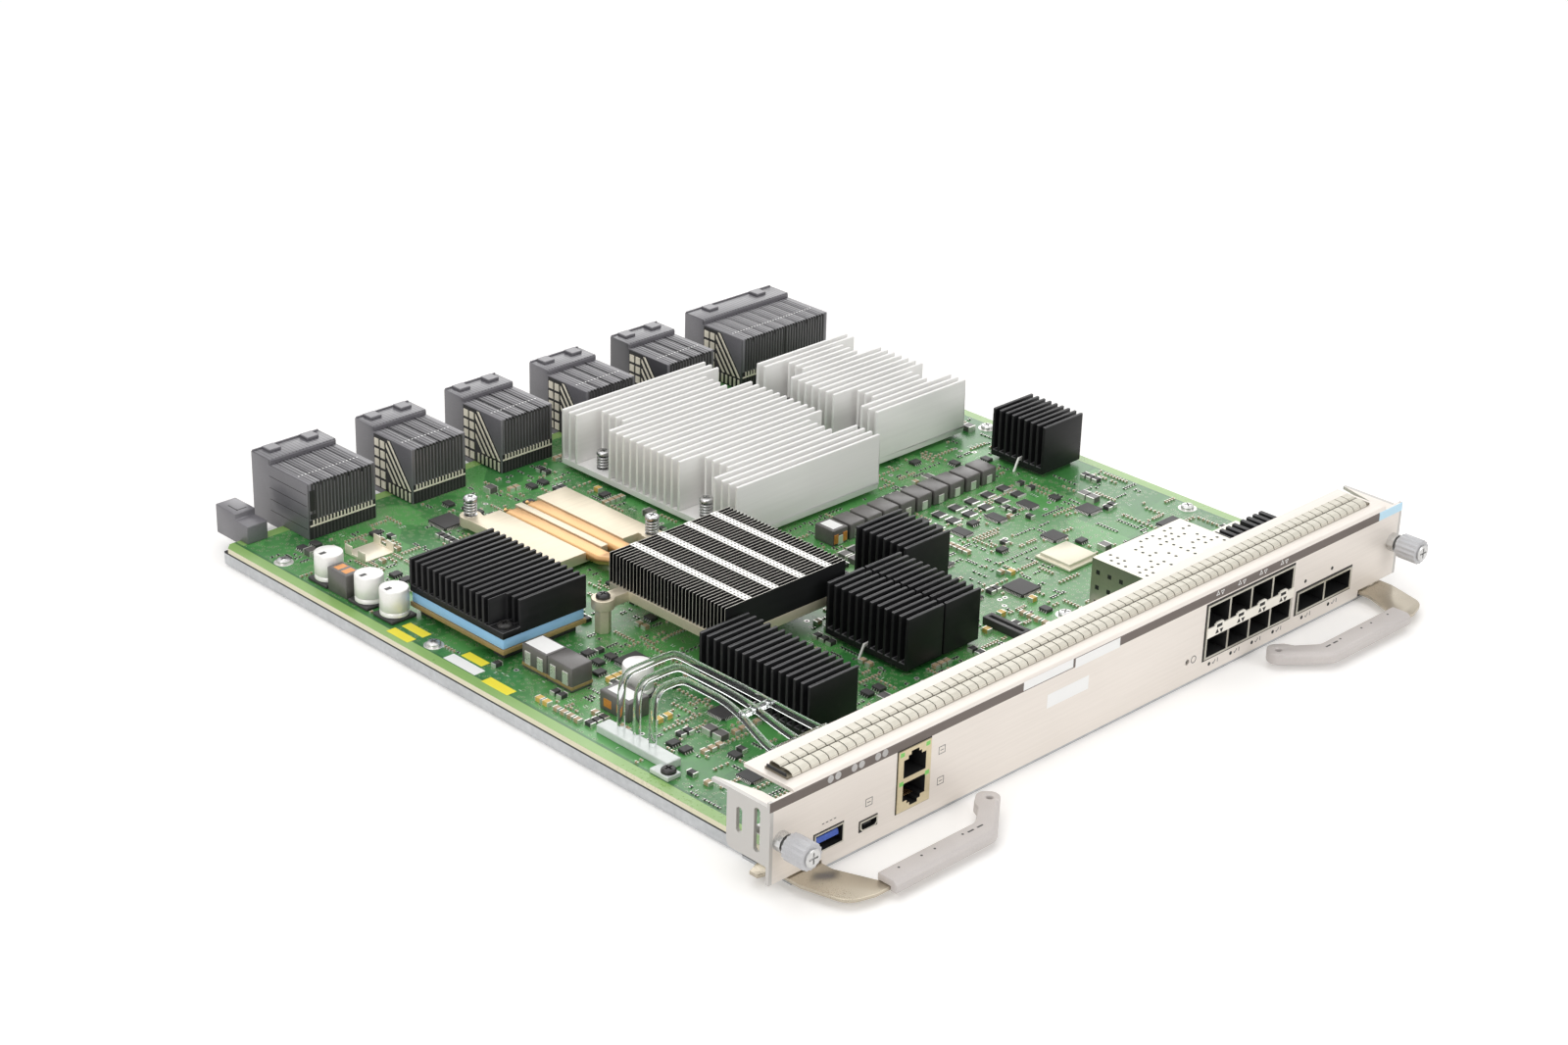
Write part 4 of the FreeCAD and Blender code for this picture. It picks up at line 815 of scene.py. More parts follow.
class Palette:
    """Every finish of the module by the part that wears it."""

    zinc = Finish("zinc_plate", (0.44, 0.455, 0.47), (0.62, 0.635, 0.65), 0.44, 0.12, 0.6, 55.0, 500.0,
                  relief=0.05)
    panel = PanelFinish("satin_panel", (0.78, 0.722, 0.663), (0.858, 0.799, 0.741), 0.45, 0.06, 0.25, 18.0,
                        900.0,
                        Grain.ALONG_X, 0.01)
    board = BoardFinish("solder_mask", (0.023, 0.149, 0.034), (0.054, 0.241, 0.054), 0.32, 0.08, 0.0, 26.0,
                        700.0,
                        relief=0.01, specular=0.7)
    insulator = Finish("black_sheet", (0.012, 0.012, 0.012), (0.03, 0.03, 0.03), 0.7)
    bright = Finish("bright_plating", (0.515, 0.515, 0.51), (0.694, 0.694, 0.689), 0.30, 0.08, 0.95, 60.0,
                    800.0)
    dark_screw = Finish("black_oxide", (0.019, 0.019, 0.021), (0.052, 0.049, 0.047), 0.35, 0.1, 0.3)
    gasket = Finish("sprung_strip", (0.62, 0.585, 0.495), (0.72, 0.69, 0.60), 0.42, 0.08, 0.2, 40.0, 600.0)
    # Base of the sprung strip, darkened as painted shade where it shows in the crease and between the cells.
    bed = Finish("gasket_bed", (0.13, 0.111, 0.078), (0.221, 0.195, 0.143), 0.5, 0.1, 0.3)
    grip = Finish("grip_moulding", (0.54, 0.50, 0.485), (0.65, 0.61, 0.585), 0.44, 0.08, 0.0, 40.0, 2600.0,
                  relief=0.10)
    arm = Finish("lever_plate", (0.45, 0.40, 0.32), (0.53, 0.48, 0.39), 0.30, 0.06, 0.9, 25.0, 2600.0,
                 relief=0.01)
    knob = Finish("knob_moulding", (0.469, 0.469, 0.483), (0.596, 0.596, 0.611), 0.36, 0.08, 0.0, 60.0,
                  2000.0,
                  relief=0.06)
    black_fins = Finish("matt_black_fins", (0.004, 0.004, 0.005), (0.010, 0.010, 0.011), 0.46, 0.08, 0.0,
                        40.0,
                        900.0, Grain.ALONG_X, 0.03, 0.3)
    fin_tips = Finish("worn_tips", (0.052, 0.052, 0.056), (0.111, 0.109, 0.114), 0.34, 0.08, 0.3, 60.0,
                      900.0)
    silver_fins = Finish("pale_satin_fins", (0.84, 0.83, 0.815), (0.90, 0.89, 0.875), 0.46, 0.05, 0.1, 22.0,
                         800.0,
                         Grain.ALONG_X, 0.01, 0.4)
    leaf_edge = Finish("leaf_edge", (0.62, 0.59, 0.53), (0.80, 0.77, 0.71), 0.36, 0.08, 0.3)
    tie = Finish("tie_strip", (0.93, 0.918, 0.881), (0.93, 0.919, 0.887), 0.42, 0.08, 0.2)
    copper = Finish("bare_copper", (0.58, 0.33, 0.14), (0.72, 0.45, 0.21), 0.34, 0.06, 0.9, 30.0, 2400.0,
                    relief=0.01)
    plate = Finish("machined_plate", (0.66, 0.58, 0.44), (0.80, 0.72, 0.57), 0.40, 0.06, 0.5, 30.0, 1200.0,
                   Grain.ALONG_X, 0.01)
    slate = Finish("connector_moulding", (0.115, 0.111, 0.125), (0.17, 0.164, 0.18), 0.34, 0.06, 0.0, 50.0,
                   1500.0,
                   relief=0.04, specular=0.9)
    wafers = WaferFinish("wafer_moulding", (0.115, 0.111, 0.125), (0.17, 0.164, 0.18), 0.34, 0.06, 0.0, 50.0,
                         1500.0, relief=0.04, specular=0.9)
    ivory = Finish("contact_ivory", (0.754, 0.702, 0.572), (0.93, 0.878, 0.749), 0.42, 0.1, 0.2)
    clear = Finish("clear_moulding", (0.90, 0.92, 0.92), (0.96, 0.98, 0.98), 0.05, 0.02, 0.0, 20.0, 40.0,
                   relief=0.0, transmission=1.0)
    milky = Finish("milky_bracket", (0.56, 0.61, 0.58), (0.72, 0.77, 0.74), 0.20, 0.06, 0.0, 60.0, 300.0,
                   relief=0.0, specular=0.8)
    frost = Finish("frosted_lens", (0.426, 0.412, 0.405), (0.568, 0.554, 0.547), 0.35, 0.08)
    lamp = Finish("green_lamp", (0.142, 0.511, 0.085), (0.256, 0.71, 0.156), 0.3, 0.08)
    pad = Finish("soft_pad", (0.31, 0.596, 0.93), (0.359, 0.634, 0.93), 0.7, 0.1, 0.0, 60.0, 1800.0,
                 relief=0.15)
    nickel = Finish("cage_plating", (0.50, 0.485, 0.42), (0.60, 0.585, 0.515), 0.34, 0.06, 0.92, 40.0, 900.0,
                    relief=0.01)
    shield = Finish("socket_shield", (0.624, 0.533, 0.338), (0.754, 0.65, 0.442), 0.34, 0.08, 0.4, 40.0,
                    900.0,
                    relief=0.01)
    latch = Finish("latch_plate", (0.93, 0.891, 0.788), (0.93, 0.896, 0.817), 0.42, 0.08, 0.2)
    blue = Finish("blue_tongue", (0.03, 0.08, 0.42), (0.05, 0.13, 0.56), 0.4)
    chip = Finish("chip_package", (0.026, 0.026, 0.027), (0.057, 0.054, 0.054), 0.52, 0.1, 0.0, 80.0, 3000.0,
                  relief=0.08)
    lid = Finish("chip_lid", (0.76, 0.72, 0.56), (0.84, 0.80, 0.65), 0.38, 0.06, 0.3)
    can = Finish("can_metal", (0.858, 0.845, 0.819), (0.93, 0.918, 0.894), 0.36, 0.08, 0.2, 60.0, 900.0,
                 relief=0.01)
    coil = Finish("pressed_powder", (0.075, 0.07, 0.067), (0.13, 0.122, 0.117), 0.38, 0.08, 0.0, 90.0,
                  2500.0,
                  relief=0.1, specular=0.8)
    riser = Finish("riser_edge", (0.28, 0.19, 0.07), (0.40, 0.29, 0.12), 0.5)
    clip = Finish("clip_sheet", (0.858, 0.78, 0.611), (0.93, 0.872, 0.732), 0.38, 0.08, 0.4)
    steel = Finish("spring_wire", (0.403, 0.403, 0.403), (0.56, 0.56, 0.56), 0.26, 0.06, 0.95)
    tin = Finish("tinned_ends", (0.694, 0.683, 0.65), (0.874, 0.862, 0.829), 0.32, 0.08, 0.7, 80.0, 1500.0)
    ceramic = Finish("ceramic_body", (0.341, 0.241, 0.142), (0.596, 0.454, 0.298), 0.45, 0.1, 0.0, 120.0,
                     2500.0)
    amber = Finish("tantalum_case", (0.596, 0.383, 0.085), (0.824, 0.568, 0.17), 0.45, 0.1, 0.0, 120.0,
                   2500.0)
    orange = Finish("copper_window", (0.52, 0.182, 0.033), (0.754, 0.312, 0.065), 0.36, 0.1, 0.3)
    white = Finish("white_print", (0.93, 0.93, 0.918), (0.93, 0.93, 0.919), 0.55, 0.08)
    yellow = Finish("yellow_label", (0.93, 0.791, 0.035), (0.93, 0.814, 0.063), 0.5, 0.08)
    ink = Finish("printed_ink", (0.071, 0.071, 0.071), (0.128, 0.128, 0.128), 0.5, 0.08)
    # Near-black for holes, slots and gaps, and also painted shade inside hollow shells, behind connector
    # fronts and in the gasket's open end.
    void = Finish("dark_inside", (0.004, 0.004, 0.004), (0.010, 0.010, 0.010), 0.6)


@dataclass(frozen=True)
class Softbox:
    """Square lamp aimed at a point, in metres and watts."""

    name: str
    place: Place
    target: Place
    size: float
    power: float

    def build(self) -> None:
        """Hang the lamp."""
        Bench.clear()
        bpy.ops.object.light_add(type="AREA", location=self.place)
        lamp = bpy.context.object
        lamp.name = self.name
        lamp.data.shape = "SQUARE"
        lamp.data.size = self.size
        lamp.data.energy = self.power
        lamp.rotation_euler = (Vector(self.target) - Vector(self.place)).to_track_quat("-Z", "Y").to_euler()


@dataclass
class Studio:
    """Pale floor, soft light and the camera of the photograph."""

    camera_place: Place = (-820.99, -803.15, 562.52)
    camera_turn: Place = (64.9796, -1.4996, -44.5402)
    lens: float = 67.25
    sensor: float = 36.0
    nearest: float = 0.01
    floor_size: float = 9.0
    floor_drop: float = 0.05
    floor_glow: float = 0.22
    room_light: float = 0.35
    lamps: tuple[Softbox, ...] = (
        Softbox("overhead_softbox", (-0.15, 0.15, 1.35), (0, 0, 0), 1.5, 10.0),
        Softbox("rear_softbox", (1.15, 1.15, 0.80), (0, 0, 0.02), 1.3, 8.0),
        Softbox("left_softbox", (-1.5, -0.35, 0.8), (0, 0, 0.02), 1.0, 7.5),
        Softbox("front_softbox", (0.35, -1.7, 0.75), (0, -0.1, 0.02), 1.0, 9.5))

    def build(self) -> None:
        """Set up floor, world, lamps and camera."""
        bpy.context.scene.view_settings.view_transform = "Standard"
        self.floor()
        self.world()
        for lamp in self.lamps:
            lamp.build()
        self.camera()

    def floor(self) -> None:
        """Pale floor that shows white to the camera outside the soft shadow."""
        Bench.clear()
        bpy.ops.mesh.primitive_plane_add(size=self.floor_size, location=(0, 0, -self.floor_drop * MM))
        floor = Bench.named("studio_floor")
        material = bpy.data.materials.new("studio_floor")
        material.use_nodes = True
        nodes = Nodes(material.node_tree)
        shader = nodes.add("BsdfPrincipled")
        shade = nodes.noise(nodes.place(), 3.0)
        nodes.wire(nodes.mix(shade, (0.90, 0.89, 0.875), (0.92, 0.91, 0.90)), shader.inputs["Base Color"])
        shader.inputs["Roughness"].default_value = 0.6
        shader.inputs["Specular IOR Level"].default_value = 0.2
        glow = nodes.fill(nodes.add("Emission"), Color=(1.0, 0.985, 0.965),
                          Strength=nodes.times(nodes.seen(), self.floor_glow))
        total = nodes.add("AddShader")
        nodes.wire(shader.outputs[0], total.inputs[0])
        nodes.wire(glow.outputs[0], total.inputs[1])
        nodes.wire(total.outputs[0], nodes.add("OutputMaterial").inputs[0])
        floor.data.materials.append(material)

    def world(self) -> None:
        """White surroundings that light the module at a plain level."""
        world = bpy.data.worlds.new("white_room")
        bpy.context.scene.world = world
        world.use_nodes = True
        nodes = Nodes(world.node_tree)
        room = nodes.fill(nodes.add("Background"), Color=(1.0, 0.99, 0.98),
                          Strength=nodes.ramp(nodes.seen(), 0.0, 1.0, self.room_light, 1.0))
        nodes.wire(room.outputs[0], nodes.add("OutputWorld").inputs[0])

    def camera(self) -> None:
        """Camera of the photograph."""
        Bench.clear()
        bpy.ops.object.camera_add(location=[value * MM for value in self.camera_place],
                                  rotation=[math.radians(value) for value in self.camera_turn])
        camera = bpy.context.object
        camera.name = "photo_camera"
        camera.data.lens = self.lens
        camera.data.sensor_width = self.sensor
        camera.data.clip_start = self.nearest
        bpy.context.scene.camera = camera


class Frame:
    """Places of CAD nodes in millimetres."""

    steps_per_mm: int = 50

    @staticmethod
    def span(node: str) -> Box:
        """Lowest and highest corner of a node."""
        low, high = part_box(node)
        return low / MM, high / MM

    @classmethod
    def islands(cls, node: str) -> list[Box]:
        """Boxes of the separate solids of a node.

        Args:
            node: name of the node.

        Returns:
            Lowest and highest corner of each solid, from left to right.
        """
        mesh = bpy.data.objects[node].data
        keys = [tuple(round(value / MM * cls.steps_per_mm) for value in vertex.co)
                for vertex in mesh.vertices]
        parent = {key: key for key in keys}

        def root(key: tuple[int, ...]) -> tuple[int, ...]:
            """First key of the group that a key belongs to."""
            while parent[key] != key:
                parent[key] = parent[parent[key]]
                key = parent[key]
            return key

        for face in mesh.polygons:
            first = root(keys[face.vertices[0]])
            for index in face.vertices[1:]:
                parent[root(keys[index])] = first
        groups: dict[tuple[int, ...], list[Vector]] = {}
        for key, vertex in zip(keys, mesh.vertices):
            groups.setdefault(root(key), []).append(vertex.co / MM)
        boxes = [tuple(Vector([pick(point[axis] for point in points) for axis in range(3)])
                       for pick in (min, max))
                 for points in groups.values()]
        return sorted(boxes, key=lambda box: (round(box[0].x, 1), box[0].y))

    @classmethod
    def tops(cls, node: str) -> list[Vector]:
        """Middle of the top of each solid of a node, from left to right."""
        return [Vector(((low.x + high.x) / 2, (low.y + high.y) / 2, high.z))
                for low, high in cls.islands(node)]


@dataclass
class Casework:
    """CAD nodes that keep their meshes and take a finish, with painted shade coated on the inner faces where
    they are hollow.
    """

    finishes: dict[str, Finish] = field(default_factory=lambda: {
        "carrier_tray": Palette.zinc, "insulator_sheet": Palette.insulator, "main_board": Palette.board,
        "faceplate": Palette.panel, "captive_ferrules": Palette.bright, "lever_pins": Palette.bright,
        "usb_shell": Palette.nickel, "usb_tongue": Palette.blue, "mini_usb": Palette.nickel,
        "network_jack": Palette.shield, "sfp_cage": Palette.nickel, "qsfp_cage": Palette.nickel,
        "reset_switch": Palette.chip, "reset_button": Palette.chip, "sink_chips": Palette.chip,
        "sink_wire_clips": Palette.tie, "left_retaining_washer": Palette.bright,
        "right_retaining_washer": Palette.bright,
    })
    hollow: tuple[str, ...] = ("usb_shell", "mini_usb", "network_jack", "sfp_cage", "qsfp_cage")
    wall: float = 0.25

    def dress(self, nodes: dict[str, bpy.types.Object]) -> None:
        """Give each of these nodes its finish.

        Args:
            nodes: CAD objects by name.
        """
        for name, finish in self.finishes.items():
            nodes[name].data.materials.clear()
            Bench.coat(nodes[name], finish)
            LOG.info("%s wears %s", name, finish.name)
        # Painted shade: the inner faces of the hollow metal shells take near-black, standing in for the
        # shade inside them.
        for name in self.hollow:
            low, high = Frame.span(name)
            Bench.coat(nodes[name], Palette.void, lambda centre, normal: all(
                low[axis] + self.wall < centre[axis] < high[axis] - self.wall for axis in range(3)))


@dataclass
class FreeBoard:
    """Squares of the board that no node or piece stands on yet."""

    left: float = -173.0
    right: float = 173.0
    front: float = -148.0
    rear: float = 153.0
    cell: float = 0.5
    reach: float = 13.0
    below: tuple[str, ...] = ("main_board", "insulator_sheet", "carrier_tray")
    taken: set[tuple[int, int]] = field(default_factory=set)

    def read(self, nodes: dict[str, bpy.types.Object]) -> None:
        """Mark what the nodes stand on.

        Args:
            nodes: CAD objects by name.
        """
        for name, obj in nodes.items():
            if name in self.below:
                continue
            for face in obj.data.polygons:
                points = [obj.data.vertices[index].co / MM for index in face.vertices]
                if min(point.z for point in points) < self.reach:
                    xs = [point.x for point in points]
                    ys = [point.y for point in points]
                    self.taken.update(self.squares(min(xs), min(ys), max(xs), max(ys)))

    def squares(self, x0: float, y0: float, x1: float, y1: float) -> list[tuple[int, int]]:
        """Squares below a rectangle."""
        columns = range(math.floor(x0 / self.cell), math.floor(x1 / self.cell) + 1)
        rows = range(math.floor(y0 / self.cell), math.floor(y1 / self.cell) + 1)
        return [(column, row) for column in columns for row in rows]

    def around(self, x: float, y: float, width: float, depth: float) -> list[tuple[int, int]]:
        """Squares below a rectangle round a point."""
        return self.squares(x - width / 2, y - depth / 2, x + width / 2, y + depth / 2)

    def claim(self, x: float, y: float, width: float, depth: float, margin: float) -> bool:
        """Take a rectangle round a point if it lies free.

        Args:
            x: middle across.
            y: middle from front to back.
            width: size across.
            depth: size from front to back.
            margin: free border to keep.

        Returns:
            True if it was free and is now taken.
        """
        if not (self.left < x - width / 2 and x + width / 2 < self.right
                and self.front < y - depth / 2 and y + depth / 2 < self.rear):
            return False
        if not self.taken.isdisjoint(self.around(x, y, width + 2 * margin, depth + 2 * margin)):
            return False
        self.taken.update(self.around(x, y, width, depth))
        return True


@dataclass
class Leg:
    """Bent lead of a chip, which leaves its package towards -Y from the origin."""

    width: float = 0.36
    height: float = 0.8
    root: float = 0.1
    reach: float = 0.35
    foot: float = 0.55
    sheet: float = 0.16

    def build(self) -> bpy.types.Object:
        """Pattern of the lead at the origin, drawn out of a small bar.

        Returns:
            The pattern.
        """
        half = self.width / 2
        obj = Bench.block("leg", (-half, -self.root, self.height - self.sheet),
                          (half, self.root, self.height))
        for step in ((0, -self.reach, self.sheet / 2 - self.height), (0, -self.foot, self.sheet / 2)):
            Bench.drawn(obj, step, Bench.farthest(obj, -1))
        low = min(vertex.co.z for vertex in obj.data.vertices)
        obj.data.transform(Matrix.Translation((0, 0, -low)))
        return Bench.coat(obj, Palette.tin)


@dataclass(frozen=True)
class ChipKind:
    """Two-ended chip part: its sizes, what it wears and how it is spread."""

    name: str
    length: float
    width: float
    height: float
    end: float
    finish: Finish
    slot: str
    most: int = 1
    tries: int = 0

    def build(self) -> bpy.types.Object:
        """Pattern at the origin: a body with tinned ends drawn out of it.

        Returns:
            The pattern.
        """
        body = self.length / 2 - self.end
        obj = Bench.block(self.name, (-body, -self.width / 2, 0), (body, self.width / 2, self.height))
        for sense in (-1, 1):
            Bench.drawn(obj, (sense * self.end, 0, 0),
                        lambda centre, normal, way=sense: normal.x * way > 0.9)
        Bench.coat(obj, self.finish)
        return Bench.coat(obj, Palette.tin, lambda centre, normal: abs(centre.x) > body + 0.01)


@dataclass
class SmallParts:
    """Small soldered parts spread over the free board."""

    free: FreeBoard
    seed: int = 11
    gap: float = 0.3
    ticks: int = 520
    pads: int = 160
    kinds: tuple[ChipKind, ...] = (
        ChipKind("power_chokes", 5.0, 4.6, 2.6, 0.5, Palette.coil, "coil_grey", 2, 36),
        ChipKind("tantalum_blocks", 3.5, 2.8, 1.9, 0.4, Palette.amber, "clip_cream", 3, 24),
        ChipKind("black_blocks", 4.2, 2.6, 1.7, 0.5, Palette.chip, "chip_black", 4, 120),
        ChipKind("large_ceramics", 3.2, 2.5, 1.6, 0.5, Palette.ceramic, "clip_cream", 5, 60),
        ChipKind("small_ceramics", 1.7, 0.9, 0.85, 0.35, Palette.ceramic, "clip_cream", 9, 620),
        ChipKind("chip_resistors", 1.7, 0.9, 0.5, 0.35, Palette.chip, "chip_black", 8, 620))
    power_switch: ChipKind = ChipKind("power_switches", 6.4, 5.2, 1.1, 0.9, Palette.chip, "chip_black")
    switch_rows: tuple[float, ...] = (9.0, 17.5)
    draw: random.Random = field(init=False)

    def __post_init__(self) -> None:
        """Start the draw of places."""
        self.draw = random.Random(self.seed)

    @staticmethod
    def small_outline() -> bpy.types.Object:
        """Eight-legged package with a bevelled body.

        Returns:
            The pattern at the origin.
        """
        body = Bench.block("small_outline", (-2.45, -1.95, 0.15), (2.45, 1.95, 1.6), 0.22, 1)
        Bench.coat(body, Palette.chip)
        legs = Bench.repeated("legs", Leg().build(), [
            (sense * (index - 1.5) * 1.27, -sense * 1.9, 0, 0 if sense > 0 else 180)
            for index in range(4) for sense in (1, -1)])
        return Bench.joined("small_outline", [body, legs])

    def lanes(self, length: float, width: float, most: int) -> list[Turned]:
        """Places of parts in a short row on the free board.

        Args:
            length: length of one part.
            width: width of one part.
            most: most parts in a row.

        Returns:
            Places that were free.
        """
        places: list[Turned] = []
        x = self.draw.uniform(self.free.left, self.free.right)
        y = self.draw.uniform(self.free.front, self.free.rear)
        turn = self.draw.choice((0, 90))
        across = self.draw.random() < 0.8
        pitch = (width if across else length) + self.draw.choice((0.7, 0.9, 1.4))
        for index in range(self.draw.randint(1, most)):
            shift = index * pitch
            along_x = (turn == 90) == across
            place = (x + shift, y) if along_x else (x, y + shift)
            size = (length, width) if turn == 0 else (width, length)
            if self.free.claim(*place, *size, self.gap):
                places.append((*place, BOARD_TOP, turn))
        return places

    def scatter(self, name: str, pattern: bpy.types.Object, room: tuple[float, float], most: int, tries: int,
                slot: str) -> None:
        """Copies of a pattern in short rows wherever the board is free.

        Args:
            name: name of the piece.
            pattern: object to copy.
            room: length and width that one copy takes.
            most: most copies in a row.
            tries: number of rows to try.
            slot: not used.
        """
        places = [place for _ in range(tries) for place in self.lanes(*room, most)]
        Bench.spread(name, pattern, places, slot)

    def build(self) -> None:
        """Spread every kind of small part, the large ones first."""
        self.labels()
        self.switches()
        self.scatter("small_outline_chips", self.small_outline(), (5.0, 6.0), 2, 110, "chip_black")
        for kind in self.kinds:
            self.scatter(kind.name, kind.build(), (kind.length, kind.width), kind.most, kind.tries,
                         kind.slot)
        self.marks()

    def labels(self) -> None:
        """Blank yellow and white labels along the board's left edge."""
        for name, finish, slot, places in (
                ("yellow_labels", Palette.yellow, "clip_cream", (
                    (-173.6, 57.7, 4.6, 14.0), (-166.2, 57.0, 4.6, 14.0), (-164.4, 21.0, 4.6, 13.0),
                    (-172.0, -3.0, 5.0, 16.0))),
                ("white_label", Palette.white, "connector_plastic", ((-170.6, 20.6, 5.6, 20.0),))):
            parts = []
            for x, y, width, depth in places:
                self.free.taken.update(self.free.around(x, y, width, depth))
                parts.append(Bench.slab("label", (x - width / 2, y - depth / 2, BOARD_TOP - 0.02),
                                        (x + width / 2, y + depth / 2, BOARD_TOP + 0.1), finish))
            Bench.gather(name, parts, slot)

    def switches(self) -> None:
        """Two rows of flat power switches in front of the power modules."""
        kind = self.power_switch
        places = []
        for low, high in Frame.islands("power_modules"):
            x = (low.x + high.x) / 2
            for y in (low.y - back for back in self.switch_rows):
                if self.free.claim(x, y, kind.width, kind.length, 0.2):
                    places.append((x, y, BOARD_TOP, 90))
        Bench.spread(kind.name, kind.build(), places, kind.slot)

    def marks(self) -> None:
        """White printed ticks beside the parts and ring pads in free places."""
        tick = Bench.coat(Bench.block("tick", (-0.8, -0.11, 0), (0.8, 0.11, 0.03)), Palette.white)
        self.scatter("printed_ticks", tick, (1.7, 0.4), 3, self.ticks, "connector_plastic")
        ring = Bench.turned("ring_pad", (0, 0, 0), [(1.2, 0.0), (1.2, 0.06), (0.62, 0.06), (0.6, 0.01)], 14)
        Bench.coat(ring, Palette.tin)
        Bench.coat(ring, Palette.void, lambda centre, normal: centre.length < 0.3)
        self.scatter("ring_pads", ring, (2.6, 2.6), 2, self.pads, "fastener_steel")


@dataclass
class ChipLegs:
    """Rows of leads round the flat chips of the board."""

    pitch: float = 0.8
    margin: float = 0.9
    edge: float = 0.18

    def build(self) -> None:
        """Set leads along the four sides of every flat chip."""
        places: list[Turned] = []
        for low, high in Frame.islands("board_chips"):
            middle = (low + high) / 2
            size = high - low
            for side, reach, turn in ((size.x, size.y / 2, 0), (size.y, size.x / 2, 90)):
                count = int((side - 2 * self.margin) / self.pitch) + 1
                for index in range(count):
                    along = (index - (count - 1) / 2) * self.pitch
                    for angle in (math.radians(turn), math.radians(turn + 180)):
                        x = middle.x + along * math.cos(angle) + reach * math.sin(angle)
                        y = middle.y + along * math.sin(angle) - reach * math.cos(angle)
                        places.append((x, y, BOARD_TOP, math.degrees(angle)))
        Bench.spread("chip_leads", Leg().build(), places, "fastener_steel")
        Bench.dressed("board_chips", self.edge, 1, Palette.chip, "chip_black")


@dataclass
class FinSinks:
    """Extruded and bonded sinks with softened fin tips."""

    silver: tuple[str, ...] = ("switch_sink", "fabric_sink")
    black: tuple[str, ...] = ("front_sink", "twin_sink", "centre_sink", "rear_sink", "riser_sink",
                              "qsfp_pin_sinks")
    silver_tip: float = 0.42
    black_tip: float = 0.34

    def build(self) -> None:
        """Soften every sink and finish it, with paler tips on the black ones."""
        for node in self.silver:
            Bench.dressed(node, self.silver_tip, 3, Palette.silver_fins, "silver_anodised")
        for node in self.black:
            sink = Bench.dressed(node, self.black_tip, 2, Palette.black_fins, "black_anodised")
            Bench.coat(sink, Palette.fin_tips, self.slanted)

    @staticmethod
    def slanted(centre: Vector, normal: Vector) -> bool:
        """Test for the faces of the rounded tips, which face up at a slant."""
        return normal.z > 0.15 and max(abs(value) for value in normal) < 0.985


@dataclass
class Cooler:
    """Fin stack of thin leaves with their ties, on its base, with cold plate and heat pipes."""

    leaves: int = 34
    leaf: float = 0.36
    tie_width: float = 3.8
    hole: float = 0.85
    hole_spread: float = 0.95
    nipple_height: float = 2.0
    nipple: tuple[Ring, ...] = ((1.7, 0.6), (1.6, -0.8), (0.8, -1.7), (0.75, -3.0), (1.05, -3.5),
                                (0.6, -4.0))

    def build(self) -> None:
        """Model leaves, ties, plates and pipes."""
        low, high = Frame.span("fin_stack")
        step = (high.y - low.y - self.leaf) / (self.leaves - 1)
        leaf = Bench.slab("leaf", (low.x, 0, low.z), (high.x, self.leaf, high.z), Palette.black_fins, 0.06)
        Bench.coat(leaf, Palette.leaf_edge, lambda centre, normal: abs(normal.x) > 0.9 or normal.z > 0.9)
        places = [(0, low.y + index * step, 0, 0) for index in range(self.leaves)]
        Bench.spread("fin_leaves", leaf, places, "black_anodised", "fin_stack")
        self.ties(step, low, high)
        for node, finish, slot, width in (("cooler_base", Palette.plate, "plate_metal", 0.4),
                                          ("cold_plate", Palette.plate, "plate_metal", 0.4),
                                          ("heat_pipes", Palette.copper, "copper", 1.7)):
            Bench.dressed(node, width, 4, finish, slot)
        self.nipples()

    def ties(self, step: float, low: Vector, high: Vector) -> None:
        """Pale strips across the leaves, each with two rows of small dark holes.

        Args:
            step: pitch of the leaves.
            low: lowest corner of the stack.
            high: highest corner of the stack.
        """
        top = Frame.span("fin_ties")[1].z - 0.05
        half = self.tie_width / 2
        strips = []
        places: list[Turned] = []
        for tie in Frame.tops("fin_ties"):
            strips.append(Bench.slab("tie", (tie.x - half, low.y, high.z), (tie.x + half, high.y, top),
                                     Palette.tie))
            places += [(tie.x + side * self.hole_spread, low.y + (index + 0.5) * step, top, 0)
                       for index in range(self.leaves - 1) for side in (-1, 1)]
        Bench.gather("fin_tie_strips", strips, "fastener_steel", "fin_ties")
        half = self.hole / 2
        hole = Bench.slab("hole", (-half, -half, -0.05), (half, half, 0.03), Palette.void)
        Bench.spread("tie_holes", hole, places, "chip_black")

    def nipples(self) -> None:
        """Pinched ends where the heat pipes were sealed."""
        ends = []
        for low, high in Frame.islands("heat_pipes"):
            centre = ((low.x + high.x) / 2, high.y, low.z + self.nipple_height)
            ends.append(Bench.coat(Bench.turned("nipple", centre, self.nipple, 16, Axis.FORWARD),
                                   Palette.copper))
        Bench.gather("pipe_nipples", ends, "copper")


